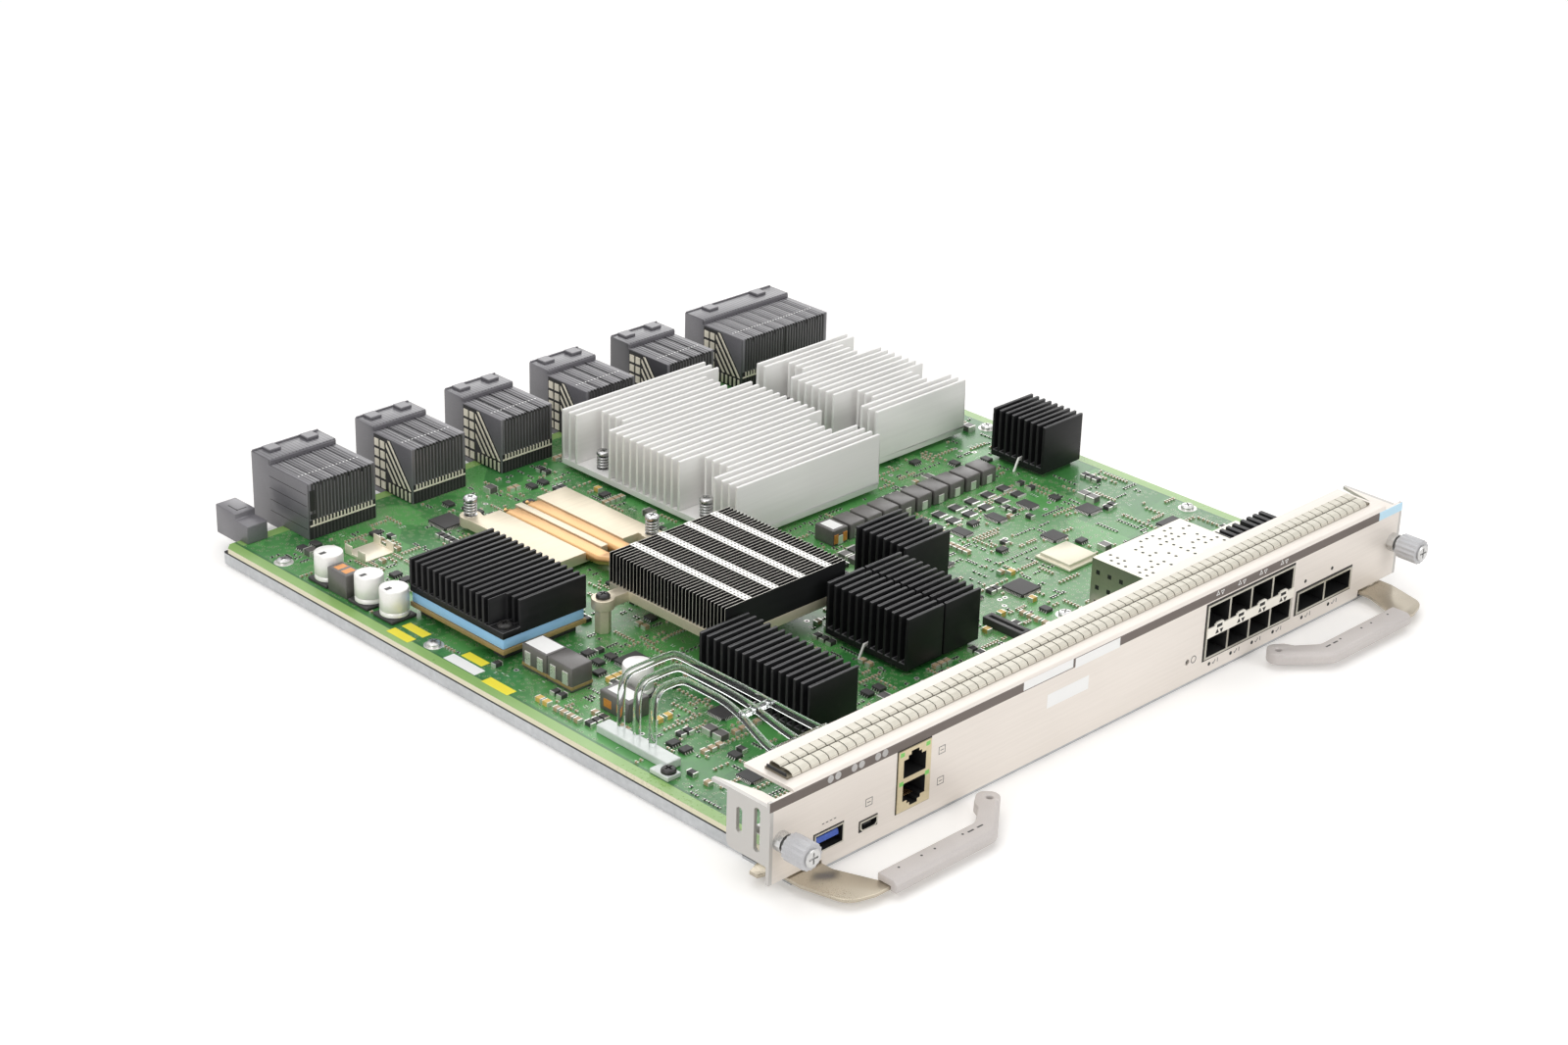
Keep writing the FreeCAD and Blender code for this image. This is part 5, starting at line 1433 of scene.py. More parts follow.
@dataclass
class Fasteners:
    """Screws with cross recesses, and the spring screws of the sinks."""

    head_radius: float = 3.1
    head_height: float = 1.9
    recess: float = 3.4
    recess_depth: float = 1.1
    blade: float = 0.75
    post_height: float = 9.0
    corner_inset: float = 4.6
    corner_seat: float = 3.0
    corner_turn: float = 20.0
    head_turn: float = 17.0
    post_turn: float = 23.0

    def recessed(self, obj: bpy.types.Object, top: float, size: float, depth: float) -> bpy.types.Object:
        """Cut a cross recess into the top of a screw head at the origin.

        Args:
            obj: the head.
            top: height of its top.
            size: length of the cross.
            depth: depth of the recess.

        Returns:
            The same object.
        """
        half, reach = self.blade / 2, size / 2
        bars = [Bench.block("recess", (-x, -y, top - depth), (x, y, top + 1))
                for x, y in ((reach, half), (half, reach))]
        return Bench.carved(obj, bars)

    def pan_head(self, finish: Finish) -> bpy.types.Object:
        """Domed head with a cross recess, seated at the origin.

        Args:
            finish: its finish.

        Returns:
            The pattern.
        """
        radius, height = self.head_radius, self.head_height
        rings = [(radius * 0.98, 0.0), (radius, 0.25), (radius * 0.97, height * 0.55),
                 (radius * 0.82, height * 0.84),
                 (radius * 0.55, height * 0.97), (radius * 0.2, height)]
        head = self.recessed(Bench.turned("pan_head", (0, 0, 0), rings), height, self.recess,
                             self.recess_depth)
        return Bench.coat(Bench.smoothed(head, 30.0), finish)

    def spring_post(self) -> bpy.types.Object:
        """Spring screw on its seat at the origin: washer, sleeve, coil and recessed head.

        Returns:
            The pattern.
        """
        top = self.post_height
        parts = [Bench.turned("washer", (0, 0, 0), [(3.1, 0.0), (3.1, 0.45), (1.7, 0.5)], 20),
                 Bench.turned("sleeve", (0, 0, 0), [(1.5, 0.0), (1.5, top - 2.0)], 16),
                 Bench.coil("coil", (0, 0, 0.5), 2.6, 0.55, top - 2.5, 4)]
        head = Bench.turned("post_head", (0, 0, top), [
            (3.0, -2.0), (3.25, -1.8), (3.25, -0.7), (2.9, -0.25), (2.2, 0.0)])
        parts.append(self.recessed(head, top, 3.2, 0.9))
        return Bench.coat(Bench.joined("spring_post", parts), Palette.steel)

    @staticmethod
    def seat(name: str, pattern: bpy.types.Object, height: float, turn: float, slot: str, node: str) -> None:
        """Copies of a screw below the tops of a node's solids, each turned on from the last.

        Args:
            name: name of the piece.
            pattern: the screw, seated at the origin.
            height: height of the screw.
            turn: degrees from one copy to the next.
            slot: not used.
            node: node that the copies stand for.
        """
        places = [(top.x, top.y, top.z - height, turn * index) for index, top in enumerate(Frame.tops(node))]
        Bench.spread(name, pattern, places, slot, node)

    def extras(self) -> None:
        """Tinned rings round the board screws, and the dark screw in the riser sink's cut corner."""
        ring = Bench.turned("screw_ring", (0, 0, BOARD_TOP), [(4.3, 0.0), (4.2, 0.12), (2.9, 0.14)])
        places = [(top.x, top.y, 0, 0) for top in Frame.tops("board_screws")]
        Bench.spread("screw_rings", Bench.coat(ring, Palette.tin), places, "fastener_steel")
        low, high = Frame.span("riser_sink")
        corner = (low.x + self.corner_inset, low.y + self.corner_inset, low.z + self.corner_seat,
                  self.corner_turn)
        Bench.spread("riser_screw", self.pan_head(Palette.dark_screw), [corner], "fastener_black")

    def build(self) -> None:
        """Set every screw on its seat."""
        for node, finish, slot in (("board_screws", Palette.bright, "fastener_steel"),
                                   ("black_screws", Palette.dark_screw, "fastener_black")):
            self.seat(node + "_heads", self.pan_head(finish), self.head_height, self.head_turn, slot, node)
        self.extras()
        self.seat("spring_posts", self.spring_post(), self.post_height, self.post_turn, "spring_steel",
                  "spring_screws")


@dataclass
class ConnectorRow:
    """Backplane connectors with wafers, contact ladders, side lattices and hoods, and the power block."""

    wafer: float = 1.85
    hood: float = 13.3
    hood_step: float = 2.4
    ladder_low: float = 6.2
    ladder_high: float = 9.2
    smooth_top: float = 14.5
    smooth_foot: float = 7.0
    edge: float = 0.1
    slants: int = 4
    slant_pitch: float = 3.7
    feet: int = 6
    foot_pitch: float = 2.9
    cell_columns: int = 2
    cell_rows: int = 5
    column_pitch: float = 4.2
    row_pitch: float = 4.95
    seam: float = 0.35
    slot: str = "connector_plastic"

    def build(self) -> None:
        """Dress the row and the power block."""
        Bench.dressed("backplane_connectors", 0.4, 2, Palette.wafers, self.slot)
        boxes = Frame.islands("backplane_connectors")
        self.wafers(boxes)
        self.lattices(boxes[1:])
        self.first(*boxes[0])
        self.hoods(boxes)
        self.power()

    def wafers(self, boxes: Sequence[Box]) -> None:
        """Ribs, contact ladders, edge notches, gaps and pale dashes that repeat from wafer to wafer, with
        painted shade on the fronts: a darker black on ribs and feet and a near-black sheet behind them.

        Args:
            boxes: lowest and highest corner of each connector.
        """
        low, high = boxes[0]
        top = high.z - self.hood_step - BOARD_TOP
        reach = high.y - low.y - self.hood - 0.5
        rows: list[Turned] = []
        notches: list[Turned] = []
        rails = []
        shade_sheets = []
        for low, high in boxes:
            count = int((high.x - low.x - 2.0) / self.wafer)
            first = (low.x + high.x - (count - 1) * self.wafer) / 2
            rows += [(first + index * self.wafer, low.y, BOARD_TOP, 0) for index in range(count)]
            notches += [(first + (index + 0.5) * self.wafer, low.y, BOARD_TOP, 0)
                        for index in range(count - 1)]
            rail = BOARD_TOP + self.ladder_low
            rails.append(Bench.slab("rail", (low.x + 0.6, low.y - 0.4, rail),
                                    (high.x - 0.6, low.y + 0.05, rail + 0.7), Palette.ivory))
            # Painted shade: a near-black sheet across each connector's front below the ladder, behind the
            # feet and teeth.
            shade_sheets.append(Bench.slab("skirt", (low.x + 0.5, low.y - 0.08, BOARD_TOP + 0.2),
                                     (high.x - 0.5, low.y + 0.05, BOARD_TOP + self.ladder_high),
                                     Palette.void))
        Bench.gather("contact_rails", rails, "clip_cream")
        Bench.gather("front_skirts", shade_sheets, self.slot)
        for name, low, high, finish, slot, places in (
                ("contact_teeth", (-0.34, -0.5, self.ladder_low), (0.34, 0.05, self.ladder_high),
                 Palette.ivory,
                 "clip_cream", rows),
                # Painted shade: feet and ribs are the same black moulding given a darker black, so the
                # fronts read darker than the tops.
                ("wafer_feet", (-0.42, -0.3, 0.1), (0.42, 0.05, self.ladder_low - 0.4), Palette.chip,
                 self.slot, rows),
                ("wafer_ribs", (-0.45, -0.35, self.ladder_high + 0.5), (0.45, 0.1, top - 0.4), Palette.chip,
                 self.slot, rows),
                ("edge_notches", (-0.25, -0.4, top - 1.0), (0.25, 1.3, top + 0.03), Palette.void,
                 self.slot, notches),
                ("wafer_gaps", (-0.24, 1.2, top - 0.1), (0.24, reach, top + 0.03), Palette.void,
                 self.slot, notches),
                ("wafer_dashes", (-0.32, 9.2, top - 0.1), (0.32, 9.9, top + 0.05), Palette.white,
                 "clip_cream", rows)):
            Bench.spread(name, Bench.slab(name, low, high, finish, self.edge), places, slot)

    def lattices(self, boxes: Sequence[Box]) -> None:
        """Dark left sides with pale contact bars: slanted ones in front, upright feet and a grid behind.

        Args:
            boxes: lowest and highest corner of each connector.
        """
        top = boxes[0][1].z - self.hood_step - BOARD_TOP - 0.6
        lean = math.atan2(self.smooth_top, top - self.smooth_foot)
        ground = Bench.slab("ground", (-0.12, 0.6, 0.3), (0.05, 27.4, top), Palette.void)
        Bench.trimmed(ground, (0, 0.6, self.smooth_foot), (0, -math.cos(lean), math.sin(lean)))
        bars = []
        for index in range(self.slants):
            bar = Bench.block("slant", (-0.4, -0.6, -20), (0.05, 0.6, 30), self.edge, 1)
            start = Vector((0, 2.2 + index * self.slant_pitch, self.smooth_foot)) * MM
            bar.data.transform(Matrix.Translation(start) @ Matrix.Rotation(-lean, 4, "X"))
            bars.append(bar)
        slants = Bench.joined("slants", bars)
        for place, normal in (((0, 18.2, 0), (0, 1, 0)), ((0, 0, self.smooth_foot - 0.8), (0, 0, -1)),
                              ((0, 0, top - 0.4), (0, 0, 1))):
            Bench.trimmed(slants, place, normal)
        corners = [((1.2 + self.foot_pitch * index, 0.6), (2.5 + self.foot_pitch * index, 5.2))
                   for index in range(self.feet)]
        corners += [((19.4 + self.column_pitch * column, 1.0 + self.row_pitch * row),
                     (22.6 + self.column_pitch * column, 4.6 + self.row_pitch * row))
                    for column in range(self.cell_columns) for row in range(self.cell_rows)]
        rest = [Bench.block("bar", (-0.4, *low), (0.05, *high), self.edge, 1) for low, high in corners]
        pale = Bench.coat(Bench.joined("pale_bars", [slants] + rest), Palette.ivory)
        lattice = Bench.joined("lattice", [ground, pale])
        Bench.spread("side_lattices", lattice, [(low.x, low.y, BOARD_TOP, 0) for low, high in boxes],
                     "clip_cream")

    def first(self, low: Vector, high: Vector) -> None:
        """Slots in the front column and grooves in the plain left side of the first connector.

        Args:
            low: its lowest corner.
            high: its highest corner.
        """
        top = high.z - self.hood_step
        dark = [Bench.slab("slot", (low.x + 1.0, low.y - 0.5, top - foot),
                           (low.x + 3.4, low.y + 0.05, top - head),
                           Palette.void) for foot, head in ((13.0, 3.4), (17.0, 14.6))]
        dark += [Bench.slab("groove", (low.x - 0.06, low.y + 1.0, top - height),
                            (low.x + 0.05, high.y - self.hood, top - height + 0.3), Palette.void)
                 for height in (5.5, 11.0, 16.5, 22.0)]
        Bench.gather("first_slots", dark, self.slot)

    def hoods(self, boxes: Sequence[Box]) -> None:
        """Raised blocks, a rear lip and a brow on each hood, and the parting of the double connector.

        Args:
            boxes: lowest and highest corner of each connector.
        """
        parts = []
        for low, high in boxes:
            for share in (0.22, 0.78):
                x = low.x + (high.x - low.x) * share
                parts.append(Bench.slab("tab", (x - 3.2, high.y - 7.5, high.z - 0.1),
                                        (x + 3.2, high.y - 1.2, high.z + 1.3), Palette.slate, 0.3))
            parts.append(Bench.slab("lip", (low.x + 0.4, high.y - 1.0, high.z - 0.1),
                                    (high.x - 0.4, high.y - 0.1, high.z + 0.5), Palette.slate, 0.2))
            parts.append(Bench.slab("brow", (low.x + 0.3, high.y - self.hood - 0.5, high.z - self.hood_step),
                                    (high.x - 0.3, high.y - self.hood + 0.1, high.z - 0.5), Palette.slate,
                                    0.2))
        Bench.gather("hood_tabs", parts, self.slot)
        low, high = boxes[-1]
        top = high.z - self.hood_step
        left, right = ((low.x + high.x) / 2 + side * self.seam for side in (-1, 1))
        seams = [Bench.slab("seam", (left, low.y - 0.5, BOARD_TOP + 0.3), (right, low.y + 0.1, top),
                            Palette.void),
                 Bench.slab("seam", (left, low.y, top - 0.1), (right, high.y - self.hood, top + 0.06),
                            Palette.void)]
        Bench.gather("double_seam", seams, self.slot)

    def power(self) -> None:
        """Power block with an angled groove in its top."""
        Bench.dressed("power_block", 0.5, 2, Palette.slate, self.slot)
        low, high = Frame.span("power_block")
        corner = (low.x + 3.0, high.y - 12.0, high.z - 0.1)
        groove = [Bench.slab("groove", corner, (x, y, high.z + 0.04), Palette.void)
                  for x, y in ((high.x - 2.6, high.y - 11.3), (low.x + 3.6, high.y - 5.0))]
        Bench.gather("power_groove", groove, self.slot)


@dataclass
class BoardBlocks:
    """Cans, coils, power modules, lidded chip, riser and clips on the board."""

    blocks: tuple[tuple[str, Finish, str, float], ...] = (
        ("power_modules", Palette.coil, "coil_grey", 0.5),
        ("inductors", Palette.coil, "coil_grey", 0.5),
        ("lidded_chip", Palette.lid, "clip_cream", 0.3),
        ("clip_holder", Palette.clip, "clip_cream", 0.15),
        ("mezzanine_sockets", Palette.chip, "chip_black", 0.2),
        ("riser_board", Palette.riser, "riser_green", 0.1),
        ("riser_pad", Palette.pad, "pad_blue", 0.5))
    tall: float = 19.0

    def build(self) -> None:
        """Model each kind of block."""
        self.cans()
        for node, finish, slot, edge in self.blocks:
            Bench.dressed(node, edge, 2, finish, slot)
        self.leads()
        self.windows()

    @staticmethod
    def cans() -> None:
        """Round cans with a crimped waist and a dark foot, the rear ones with a mark on their flat top."""
        pieces = []
        for low, high in Frame.islands("capacitors"):
            x, y = (low.x + high.x) / 2, (low.y + high.y) / 2
            pieces.append(Bench.slab("can_foot", low, (high.x, high.y, low.z + 1.6), Palette.chip, 0.4))
            can = Bench.turned("can", (x, y, 0), [
                (5.8, low.z + 1.4), (6.3, low.z + 1.9), (6.3, low.z + 3.2), (5.9, low.z + 3.7),
                (6.3, low.z + 4.2),
                (6.3, high.z - 0.6), (6.05, high.z - 0.15), (5.6, high.z)], 36)
            pieces.append(Bench.coat(can, Palette.can))
            if low.y > 0:
                pieces.append(Bench.slab("can_mark", (x - 4.6, y - 1.0, high.z - 0.05),
                                         (x - 1.4, y + 1.0, high.z + 0.03), Palette.chip))
        Bench.gather("round_cans", pieces, "can_white", "capacitors")

    def leads(self) -> None:
        """Bright folded leads of the power modules and of the tall coils, and the coils' carriers."""
        places: list[Turned] = []
        for low, high in Frame.islands("power_modules"):
            x = (low.x + high.x) / 2
            places += [(x, low.y, BOARD_TOP, 0), (x, high.y, BOARD_TOP, 180)]
        lead = Bench.slab("lead", (-1.7, -0.3, 0.2), (1.7, 0.1, 4.4), Palette.tin, 0.12)
        Bench.spread("module_leads", lead, places, "fastener_steel")
        coils = [box for box in Frame.islands("inductors")[1:] if box[1].z > self.tall]
        strap = Bench.slab("strap", (-1.7, -0.45, 2.6), (1.7, 0.1, 8.4), Palette.tin, 0.15)
        places = [(low.x, low.y + share * (high.y - low.y), BOARD_TOP, 270)
                  for low, high in coils for share in (0.25, 0.75)]
        Bench.spread("coil_straps", strap, places, "fastener_steel")
        carrier = Bench.slab("carrier", (-5.6, -7.6, 1.2), (5.6, 7.6, 2.6), Palette.riser, 0.1)
        places = [((low.x + high.x) / 2, (low.y + high.y) / 2, BOARD_TOP, 0) for low, high in coils]
        Bench.spread("coil_carriers", carrier, places, "riser_green")

    @staticmethod
    def windows() -> None:
        """Copper windows of the coils and of the first module, and blank labels on their tops."""
        edge, *coils = Frame.islands("inductors")
        coils.sort(key=lambda box: box[0].y)
        module = Frame.islands("power_modules")[0]
        low, high = edge
        corners = [((low.x + 1.6, low.y + start, high.z - 0.1),
                    (high.x - 1.2, low.y + start + 3.6, high.z + 0.05))
                   for start in (2.0, 7.2)]
        low = coils[0][0]
        corners += [((low.x - 0.08, low.y + start, low.z + 2.0),
                     (low.x + 0.1, low.y + start + 4.6, low.z + 5.6))
                    for start in (2.4, 10.0)]
        low = module[0]
        corners += [((low.x + start, low.y - 0.36, low.z + 1.0), (low.x + start + 2.6, low.y, low.z + 5.4))
                    for start in (0.6, 6.0)]
        Bench.gather("copper_windows", [Bench.slab("window", *pair, Palette.orange) for pair in corners],
                     "copper")
        labels = [Bench.slab("label", (low.x + margin, low.y + margin, high.z - 0.05),
                             (high.x - margin, high.y - margin, high.z + 0.06), Palette.white)
                  for (low, high), margin in ((coils[0], 2.2), (coils[-1], 0.9), (module, 1.6))]
        Bench.gather("block_labels", labels, "connector_plastic")


@dataclass
class LightGuide:
    """Clear guides that rise from a bracket, bend over and run to the panel's back."""

    radius: float = 1.6
    count: int = 3
    foot_x: float = -163.0
    foot_y: float = -83.75
    foot_pitch: float = 9.0
    exit_x: float = -160.0
    exit_pitch: float = 12.2

    def build(self) -> None:
        """Model bracket, guides, the tie between them and the block at the panel."""
        low, high = Frame.span("light_pipe")
        top = high.z - self.radius
        parts = []
        for index in range(self.count):
            x, y = self.foot_x, self.foot_y + index * self.foot_pitch
            run = x + 15.0 + index * self.exit_pitch / 2
            end = self.exit_x + index * self.exit_pitch
            route = [(x, y, low.z + 0.5), (x, y, low.z + 8), (x, y, top - 9), (x + 0.8, y, top - 3),
                     (x + 4, y, top),
                     (x + 9, y, top), (run - 3, y, top), (run, y - 1.5, top), (run, y - 8, top),
                     (run, -112.0, top),
                     (end - 1, -144.0, top), (end, -152.0, top), (end, low.y + 0.2, top)]
            parts.append(Bench.tube("guide", route, self.radius))
        parts += [Bench.block("tie", (-151.0, -121.0, top - 1.0), (-134.6, -117.5, top + 1.0), 0.5),
                  Bench.block("end_block", (-162.5, -148.6, top - 1.7), (-133.0, -145.6, top + 1.4), 0.5)]
        guide = Bench.coat(Bench.joined("clear_guides", parts), Palette.clear)
        Bench.mount(guide, "clear_plastic", "light_pipe")
        bracket = [Bench.block("bracket", (low.x + 5.5, self.foot_y - 14.0, low.z),
                               (low.x + 12.5, high.y, low.z + 3.6), 0.5),
                   Bench.block("bracket_tab", (low.x, self.foot_y - 20.0, low.z),
                               (low.x + 7.0, self.foot_y - 9.6, low.z + 2.0), 0.4)]
        Bench.mount(Bench.coat(Bench.joined("guide_bracket", bracket), Palette.milky), "clear_plastic")


@dataclass
class GasketFingers:
    """Sprung strip on the top return: two rows of nearly flat cells beside a crease darkened with painted
    shade.
    """

    pitch: float = 4.72
    slit: float = 0.5
    sheet: float = 0.25
    front_steps: tuple[Ring, ...] = ((0.7, 0.45), (2.6, -0.15), (1.5, -0.5), (0.7, -1.2))
    rear_steps: tuple[Ring, ...] = ((0.7, 0.5), (3.6, 0.2), (0.9, -0.6), (0.4, -1.2))

    def row(self, steps: Sequence[tuple[float, float]], sense: int,
            places: Sequence[Turned]) -> bpy.types.Object:
        """Row of cells, each drawn out from the crease step by step.

        Args:
            steps: (reach, rise) of each step outwards.
            sense: 1 for the rear row, -1 for the front one.
            places: places of the cells.

        Returns:
            The row.
        """
        half = self.slit / 2
        cell = Bench.block("cell", (half, -0.05, -self.sheet), (self.pitch - half, 0.05, 0))
        for reach, rise in steps:
            Bench.drawn(cell, (0, reach * sense, rise), Bench.farthest(cell, sense))
        return Bench.repeated("cells", cell, places)

    def build(self) -> None:
        """Model one cell of each row and repeat it along the panel, on a bed darkened as painted shade, with
        a near-black painted-shade sheet in its open end.
        """
        low, high = Frame.span("emi_gasket")
        middle = (low.y + high.y) / 2
        count = int((high.x - low.x) / self.pitch)
        first = (low.x + high.x - count * self.pitch) / 2
        xs = [first + index * self.pitch for index in range(count)]
        front = self.row(self.front_steps, -1, [(x, middle - 0.35, high.z - 0.75, 0) for x in xs])
        rear = self.row(self.rear_steps, 1, [(x, middle + 0.35, high.z - 0.72, 0) for x in xs])
        cells = Bench.coat(Bench.joined("gasket_cells", [front, rear]), Palette.gasket)
        Bench.mount(cells, "gasket_metal", "emi_gasket")
        # Painted shade: the dark bed seen in the crease and slits, and a near-black sheet in the strip's
        # open end.
        bed = [Bench.slab("bed", (low.x, low.y + 0.6, low.z), (high.x, high.y - 0.6, low.z + 0.9),
                          Palette.bed),
               Bench.slab("mouth", (low.x, low.y + 1.4, low.z + 0.8),
                          (low.x + 0.6, high.y - 1.4, high.z - 0.5),
                          Palette.void)]
        Bench.gather("gasket_bed", bed, "gasket_metal")


@dataclass
class PanelDetail:
    """Prints, stickers, lenses, rims and contacts of the panel and its sockets."""

    print_depth: float = 0.05
    band: float = 37.9
    columns: tuple[float, ...] = (63.84, 78.22, 92.60, 106.98)
    wide_columns: tuple[float, ...] = (127.4, 146.4)
    seed: int = 5

    def flat(self, x0: float, x1: float, z0: float, z1: float, finish: Finish) -> bpy.types.Object:
        """Thin printed or glued rectangle on the panel's front.

        Args:
            x0: left side.
            x1: right side.
            z0: bottom.
            z1: top.
            finish: its finish.

        Returns:
            The new object.
        """
        front = PANEL_FRONT - self.print_depth
        return Bench.slab("flat", (x0, front, z0), (x1, PANEL_FRONT + 0.02, z1), finish, 0.02)

    @staticmethod
    def outline(place: Place, radius: float, inner: float, sides: int, finish: Finish,
                upward: bool = True) -> bpy.types.Object:
        """Flat ring or disc that faces forward; one with three sides is an arrow head.

        Args:
            place: its middle, on the surface that it lies on.
            radius: outer radius.
            inner: radius of the hole, 0 for a full disc.
            sides: number of sides.
            finish: its finish.
            upward: the first corner points up, else down.

        Returns:
            The new object.
        """
        rings = [(radius, -0.05), (radius, 0.06)] + ([(inner, 0.06), (inner, -0.05)] if inner else [])
        obj = Bench.turned("outline", (0, 0, 0), rings, sides, Axis.FORWARD)
        turn = Matrix.Rotation(0.0 if upward else math.pi, 4, "Y")
        obj.data.transform(Matrix.Translation(Vector(place) * MM) @ turn)
        return Bench.coat(obj, finish)

    def build(self) -> None:
        """Add everything that the panel carries."""
        stickers = [self.flat(*sides, Palette.white) for sides in (
            (-57.4, -28.4, 36.0, 39.8), (-27.0, 0.0, 35.0, 39.3), (-42.7, -18.1, 23.0, 29.0))]
        Bench.gather("blank_stickers", stickers, "panel_metal")
        self.lenses()
        self.icons()
        self.rims()
        self.sockets()
        self.cage_marks()
        self.latches()

    def lenses(self) -> None:
        """Lenses of the light guides in the printed band, and small dark dots beside the bays."""
        rings = [(1.5, -0.02), (1.5, 0.1), (1.2, 0.2), (0.6, 0.24)]
        lens = Bench.coat(Bench.turned("lens", (0, PANEL_FRONT, 0), rings, 20, Axis.FORWARD), Palette.frost)
        guide = LightGuide()
        places = [(guide.exit_x + index * guide.exit_pitch + shift, 0, self.band, 0)
                  for index in range(guide.count) for shift in (-1.9, 1.9)]
        Bench.spread("status_lenses", lens, places, "clear_plastic")
        dot = self.outline((0, PANEL_FRONT, 0), 0.85, 0.0, 14, Palette.void)
        places = [(x - 3.2, 0, 6.3, 0) for x in self.columns]
        places += [(x - 3.4, 0, z, 0) for x in self.wide_columns for z in (6.3, 23.4)]
        Bench.spread("light_dots", dot, places, "chip_black")

    def icons(self) -> None:
        """Plain generic marks: frames and strokes at the sockets, ticks below the bays and a ring."""
        marks = [self.outline((49.6, PANEL_FRONT, 12.2), 1.7, 1.35, 20, Palette.ink)]
        sides = []
        for x, z in ((-141.2, 20.4), (-102.5, 14.4), (-102.5, 27.6)):
            sides += [(x - 1.8, x + 1.8, z + height, z + height + 0.25) for height in (-1.6, 1.4)]
            sides += [(x + across, x + across + 0.25, z - 1.6, z + 1.6) for across in (-1.8, 1.55)]
            sides.append((x - 0.9, x + 0.9, z - 0.2, z + 0.1))
        sides += [(-165.5 + 2.0 * index, -164.3 + 2.0 * index, 20.4, 20.8) for index in range(4)]
        strokes = ((0.0, 0.2, 0.9), (0.5, 0.0, 0.5), (1.0, 0.4, 1.1), (1.5, 0.9, 1.8), (3.2, 0.0, 1.9))
        sides += [(x - 1.0 + across, x - 0.6 + across, 5.4 + rise, 5.4 + high)
                  for x in self.columns + self.wide_columns for across, rise, high in strokes]
        marks += [self.flat(*side, Palette.ink) for side in sides]
        Bench.gather("printed_icons", marks, "insulator_black")
        arrows = [self.outline((x + shift, PANEL_FRONT, self.band), 1.35, 0.85, 3, Palette.white, shift < 0)
                  for x in self.columns for shift in (-1.5, 1.5)]
        Bench.gather("band_arrows", arrows, "connector_plastic")

    def rims(self) -> None:
        """Dark gaps between the panel and the shells that come through it."""
        sides = []
        for node, gap in (("sfp_cage", 0.8), ("qsfp_cage", 0.8), ("network_jack", 0.5), ("usb_shell", 0.4),
                          ("mini_usb", 0.4)):
            low, high = Frame.span(node)
            sides += [(low.x - gap, low.x, low.z - gap, high.z + gap),
                      (high.x, high.x + gap, low.z - gap, high.z + gap),
                      (low.x, high.x, low.z - gap, low.z), (low.x, high.x, high.z, high.z + gap)]
        Bench.gather("shell_gaps", [self.flat(*side, Palette.void) for side in sides], "insulator_black")

    @staticmethod
    def sockets() -> None:
        """Spring contacts inside the network sockets and a small lamp in each upper corner."""
        low, high = Frame.span("network_jack")
        middle = (low.x + high.x) / 2
        contact = Bench.slab("contact", (-0.22, 0, -0.2), (0.22, 9.0, 0.2), Palette.copper)
        places = [(middle + (index - 3.5) * 1.05, low.y + 4.0, z, 0)
                  for index in range(8) for z in (low.z + 3.2, high.z - 3.2)]
        Bench.spread("socket_contacts", contact, places, "copper")
        lamp = Bench.slab("lamp", (-1.1, -0.08, -0.9), (1.1, 0.2, 0.9), Palette.lamp)
        places = [(middle + shift, low.y, low.z + height, 0) for shift in (-6.9, 6.9)
                  for height in (12.0, 24.3)]
        Bench.spread("socket_lamps", lamp, places, "clear_plastic")

    def cage_marks(self) -> None:
        """Vent holes on the cage's top and side."""
        low, high = Frame.span("sfp_cage")
        hole = Bench.turned("vent", (0, 0, 0), [(0.75, -0.02), (0.75, 0.03), (0.5, 0.03)], 10)
        Bench.coat(hole, Palette.void)
        draw = random.Random(self.seed)
        places = [(low.x + 3.4 + column * 4.0, low.y + 27.5 + row * 3.8, high.z, 0)
                  for row in range(9) for column in range(14) if draw.random() < 0.5]
        Bench.spread("cage_vents", hole, places, "chip_black")
        side = Bench.slab("side_vent", (-0.04, -1.0, -1.0), (0.04, 1.0, 1.0), Palette.void, 0.03)
        places = [(low.x, low.y + 27.0 + column * 6.2, low.z + 5.0 + row * 7.0, 0)
                  for column in range(6) for row in range(3)]
        Bench.spread("cage_side_vents", side, places, "chip_black")

    def latches(self) -> None:
        """Pale latch strip between the bays, with a capped slot and two dark arrow heads per column."""
        low, high = Frame.span("sfp_latch_strip")
        front, back = low.y, high.y
        middle = (low.z + high.z) / 2
        corners = [((low.x, front + 0.1, middle - 2.3), (high.x, back, middle + 2.1))]
        for x in self.columns:
            corners.append(((x - 2.0, front, middle + 2.5), (x + 2.0, back, middle + 3.5)))
            corners += [((x + post - 0.5, front + 0.05, middle + 0.9), (x + post + 0.5, back, middle + 3.0))
                        for post in (-2.4, 2.4)]
        strips = [Bench.slab("strip", *pair, Palette.latch) for pair in corners]
        Bench.gather("latch_strip", strips, "fastener_steel", "sfp_latch_strip")
        dark = []
        for x in self.columns:
            dark.append(Bench.slab("slot", (x - 1.8, front + 0.05, middle + 1.0),
                                   (x + 1.8, front + 0.3, middle + 2.5), Palette.void))
            dark += [self.outline((x + shift, front + 0.1, middle - 0.8), 1.35, 0.0, 3, Palette.void,
                                  shift < 0) for shift in (-1.4, 1.4)]
        Bench.gather("latch_marks", dark, "chip_black")


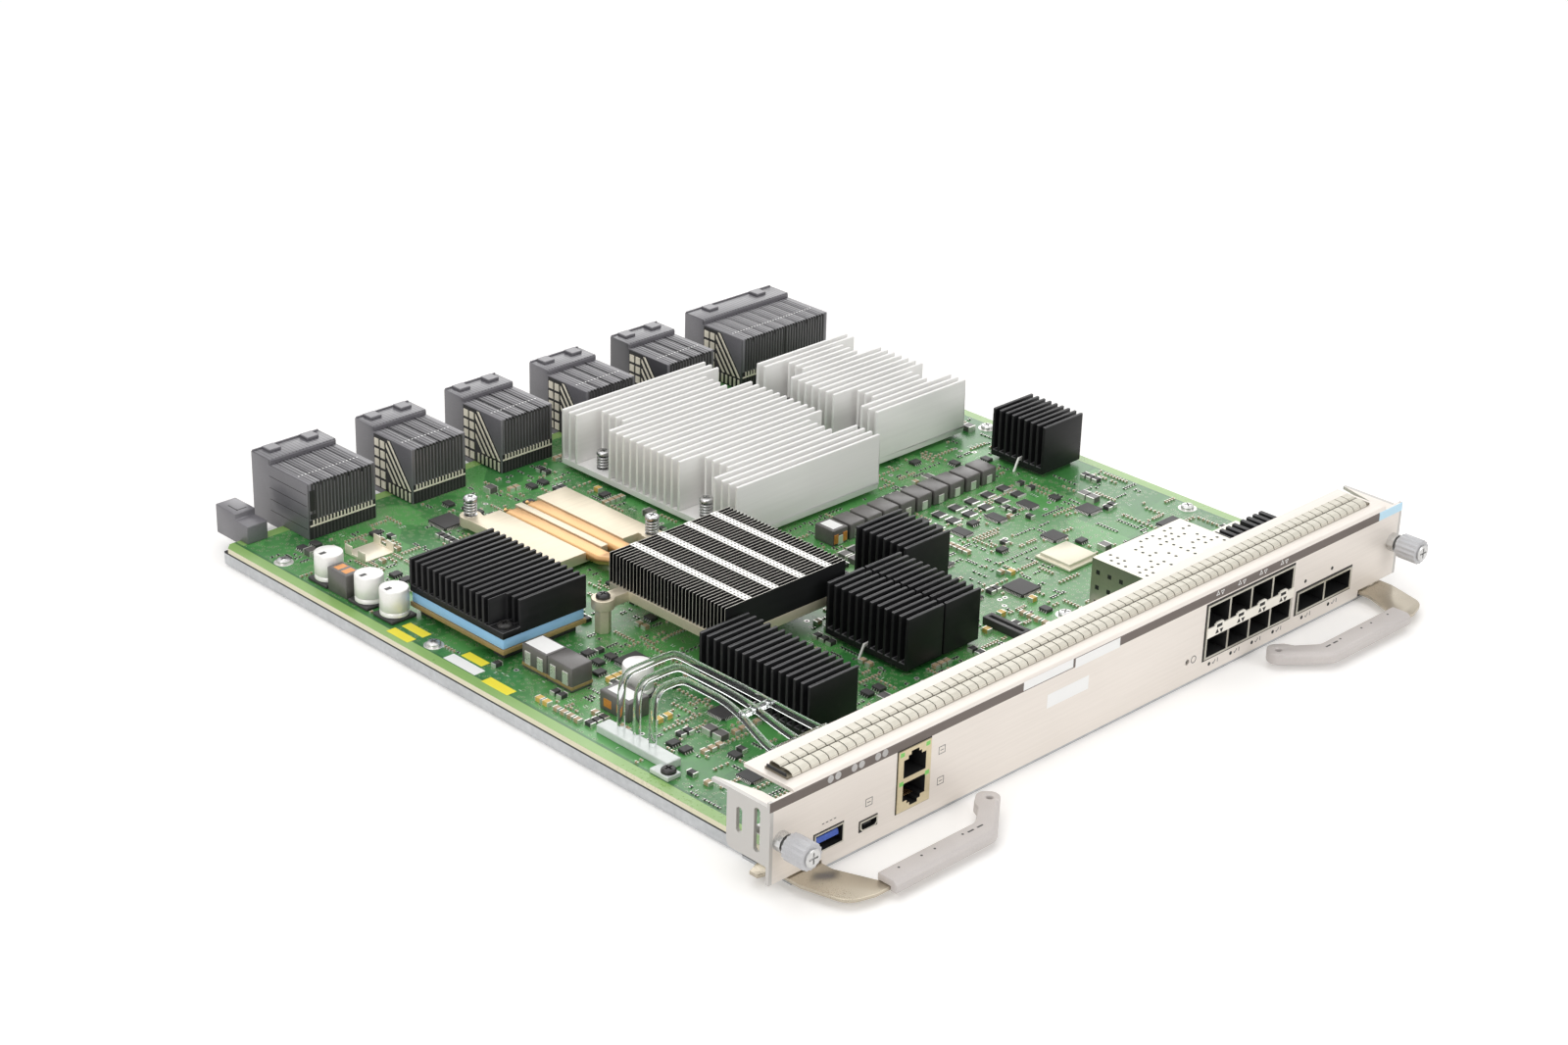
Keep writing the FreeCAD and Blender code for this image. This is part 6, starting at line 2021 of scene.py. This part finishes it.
@dataclass
class Lever:
    """Ejector lever of one hand: softened arm and grip, with pips, slots and a dark eye in the hook."""

    hand: str
    pips: tuple[float, ...] = (8.0, 20.0, 27.0, 42.0)
    slots: tuple[float, ...] = (46.0, 51.0)
    eye_inset: float = 6.5

    def build(self) -> None:
        """Soften arm and grip, and add the small marks."""
        body = self.hand + "_lever"
        for part, finish, slot, width in (("_lever_arm", Palette.arm, "arm_steel", 0.25),
                                          ("_lever_grip", Palette.grip, "grip_grey", 0.7)):
            Bench.dressed(self.hand + part, width, 3, finish, slot, body)
        low, high = Frame.span(self.hand + "_lever_grip")
        sense = 1 if self.hand == "left" else -1
        outer, tip = (low.x, high.x) if self.hand == "left" else (high.x, low.x)
        marks = []
        for along in self.pips:
            pip = Bench.turned("pip", (outer + sense * along, low.y + 6.6, high.z),
                               [(0.55, -0.1), (0.5, 0.05), (0.3, 0.06)], 10)
            marks.append(Bench.coat(pip, Palette.chip))
        for along in self.slots:
            x = outer + sense * along
            marks.append(Bench.slab("slot", (x - 1.6, low.y + 5.8, high.z - 0.1),
                                    (x + 1.6, low.y + 6.6, high.z + 0.03),
                                    Palette.chip))
        eye = Bench.turned("eye", (tip - sense * self.eye_inset, low.y + 18.0, low.z),
                           [(1.45, 0.4), (1.45, 3.6), (1.0, 3.4)], 16)
        marks.append(Bench.coat(eye, Palette.void))
        Bench.mount(Bench.joined(self.hand + "_grip_marks", marks), "grip_grey", body=body)


@dataclass
class CaptiveScrew:
    """Captive screw of one hand: ribbed knob, recessed end and wire spring."""

    hand: str
    coil_radius: float = 3.25
    wire: float = 0.4
    turns: int = 4
    travel: float = 4.0
    recess: float = 4.6
    recess_depth: float = 0.9

    def build(self) -> None:
        """Make knob, screw and spring."""
        self.screw()
        self.spring()

    def spring(self) -> None:
        """Wind the spring between ferrule and knob, riding on the screw slide."""
        node = self.hand + "_knob_spring"
        low, high = Frame.span(node)
        middle = (low + high) / 2
        length = high.y - low.y
        coil = Bench.coil(node + "_wire", (middle.x, high.y, middle.z), self.coil_radius, self.wire, length,
                          self.turns, Axis.FORWARD)
        Bench.mount(Bench.coat(coil, Palette.steel), "spring_steel", node, body=self.hand + "_screw_slide")
        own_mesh(coil)

    def screw(self) -> None:
        """Soften the knob and turn the screw, with a cross recess in its end."""
        body = self.hand + "_screw_turn"
        Bench.dressed(self.hand + "_knob", 0.3, 2, Palette.knob, "knob_grey", body, 20.0)
        node = self.hand + "_captive_screw"
        low, high = Frame.span(node)
        middle = (low + high) / 2
        front = (middle.x, low.y, middle.z)
        length = high.y - low.y
        end = Bench.turned("screw_end", (0, 0, 0), [(3.5, -1.2), (3.6, -1.0), (3.6, -0.3), (3.3, 0.0)], 28)
        Fasteners().recessed(end, 0.0, self.recess, self.recess_depth)
        Bench.stood(end, front, Axis.FORWARD)
        shaft = Bench.turned("shaft", front, [(1.95, -1.1), (1.95, 0.8 - length), (1.4, -length)], 24,
                             Axis.FORWARD)
        screw = Bench.coat(Bench.joined(self.hand + "_screw", [end, shaft]), Palette.bright)
        Bench.mount(Bench.smoothed(screw, 30.0), "fastener_steel", node, body=body)


def main() -> None:
    """Build the studio and every dressed sub-assembly, and note the sizes."""
    logging.basicConfig(level=logging.INFO, format="%(name)s: %(message)s")
    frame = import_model()
    Studio().build()
    nodes = frame["nodes"]
    Casework().dress(nodes)
    free = FreeBoard()
    free.read(nodes)
    pieces = [SmallParts(free), ChipLegs(), FinSinks(), Cooler(), Fasteners(), ConnectorRow(), BoardBlocks(),
              LightGuide(), GasketFingers(), PanelDetail(), Lever("left"), Lever("right"),
              CaptiveScrew("left"), CaptiveScrew("right")]
    for piece in pieces:
        LOG.info("building %s", type(piece).__name__)
        piece.build()


if __name__ == "__main__":
    main()
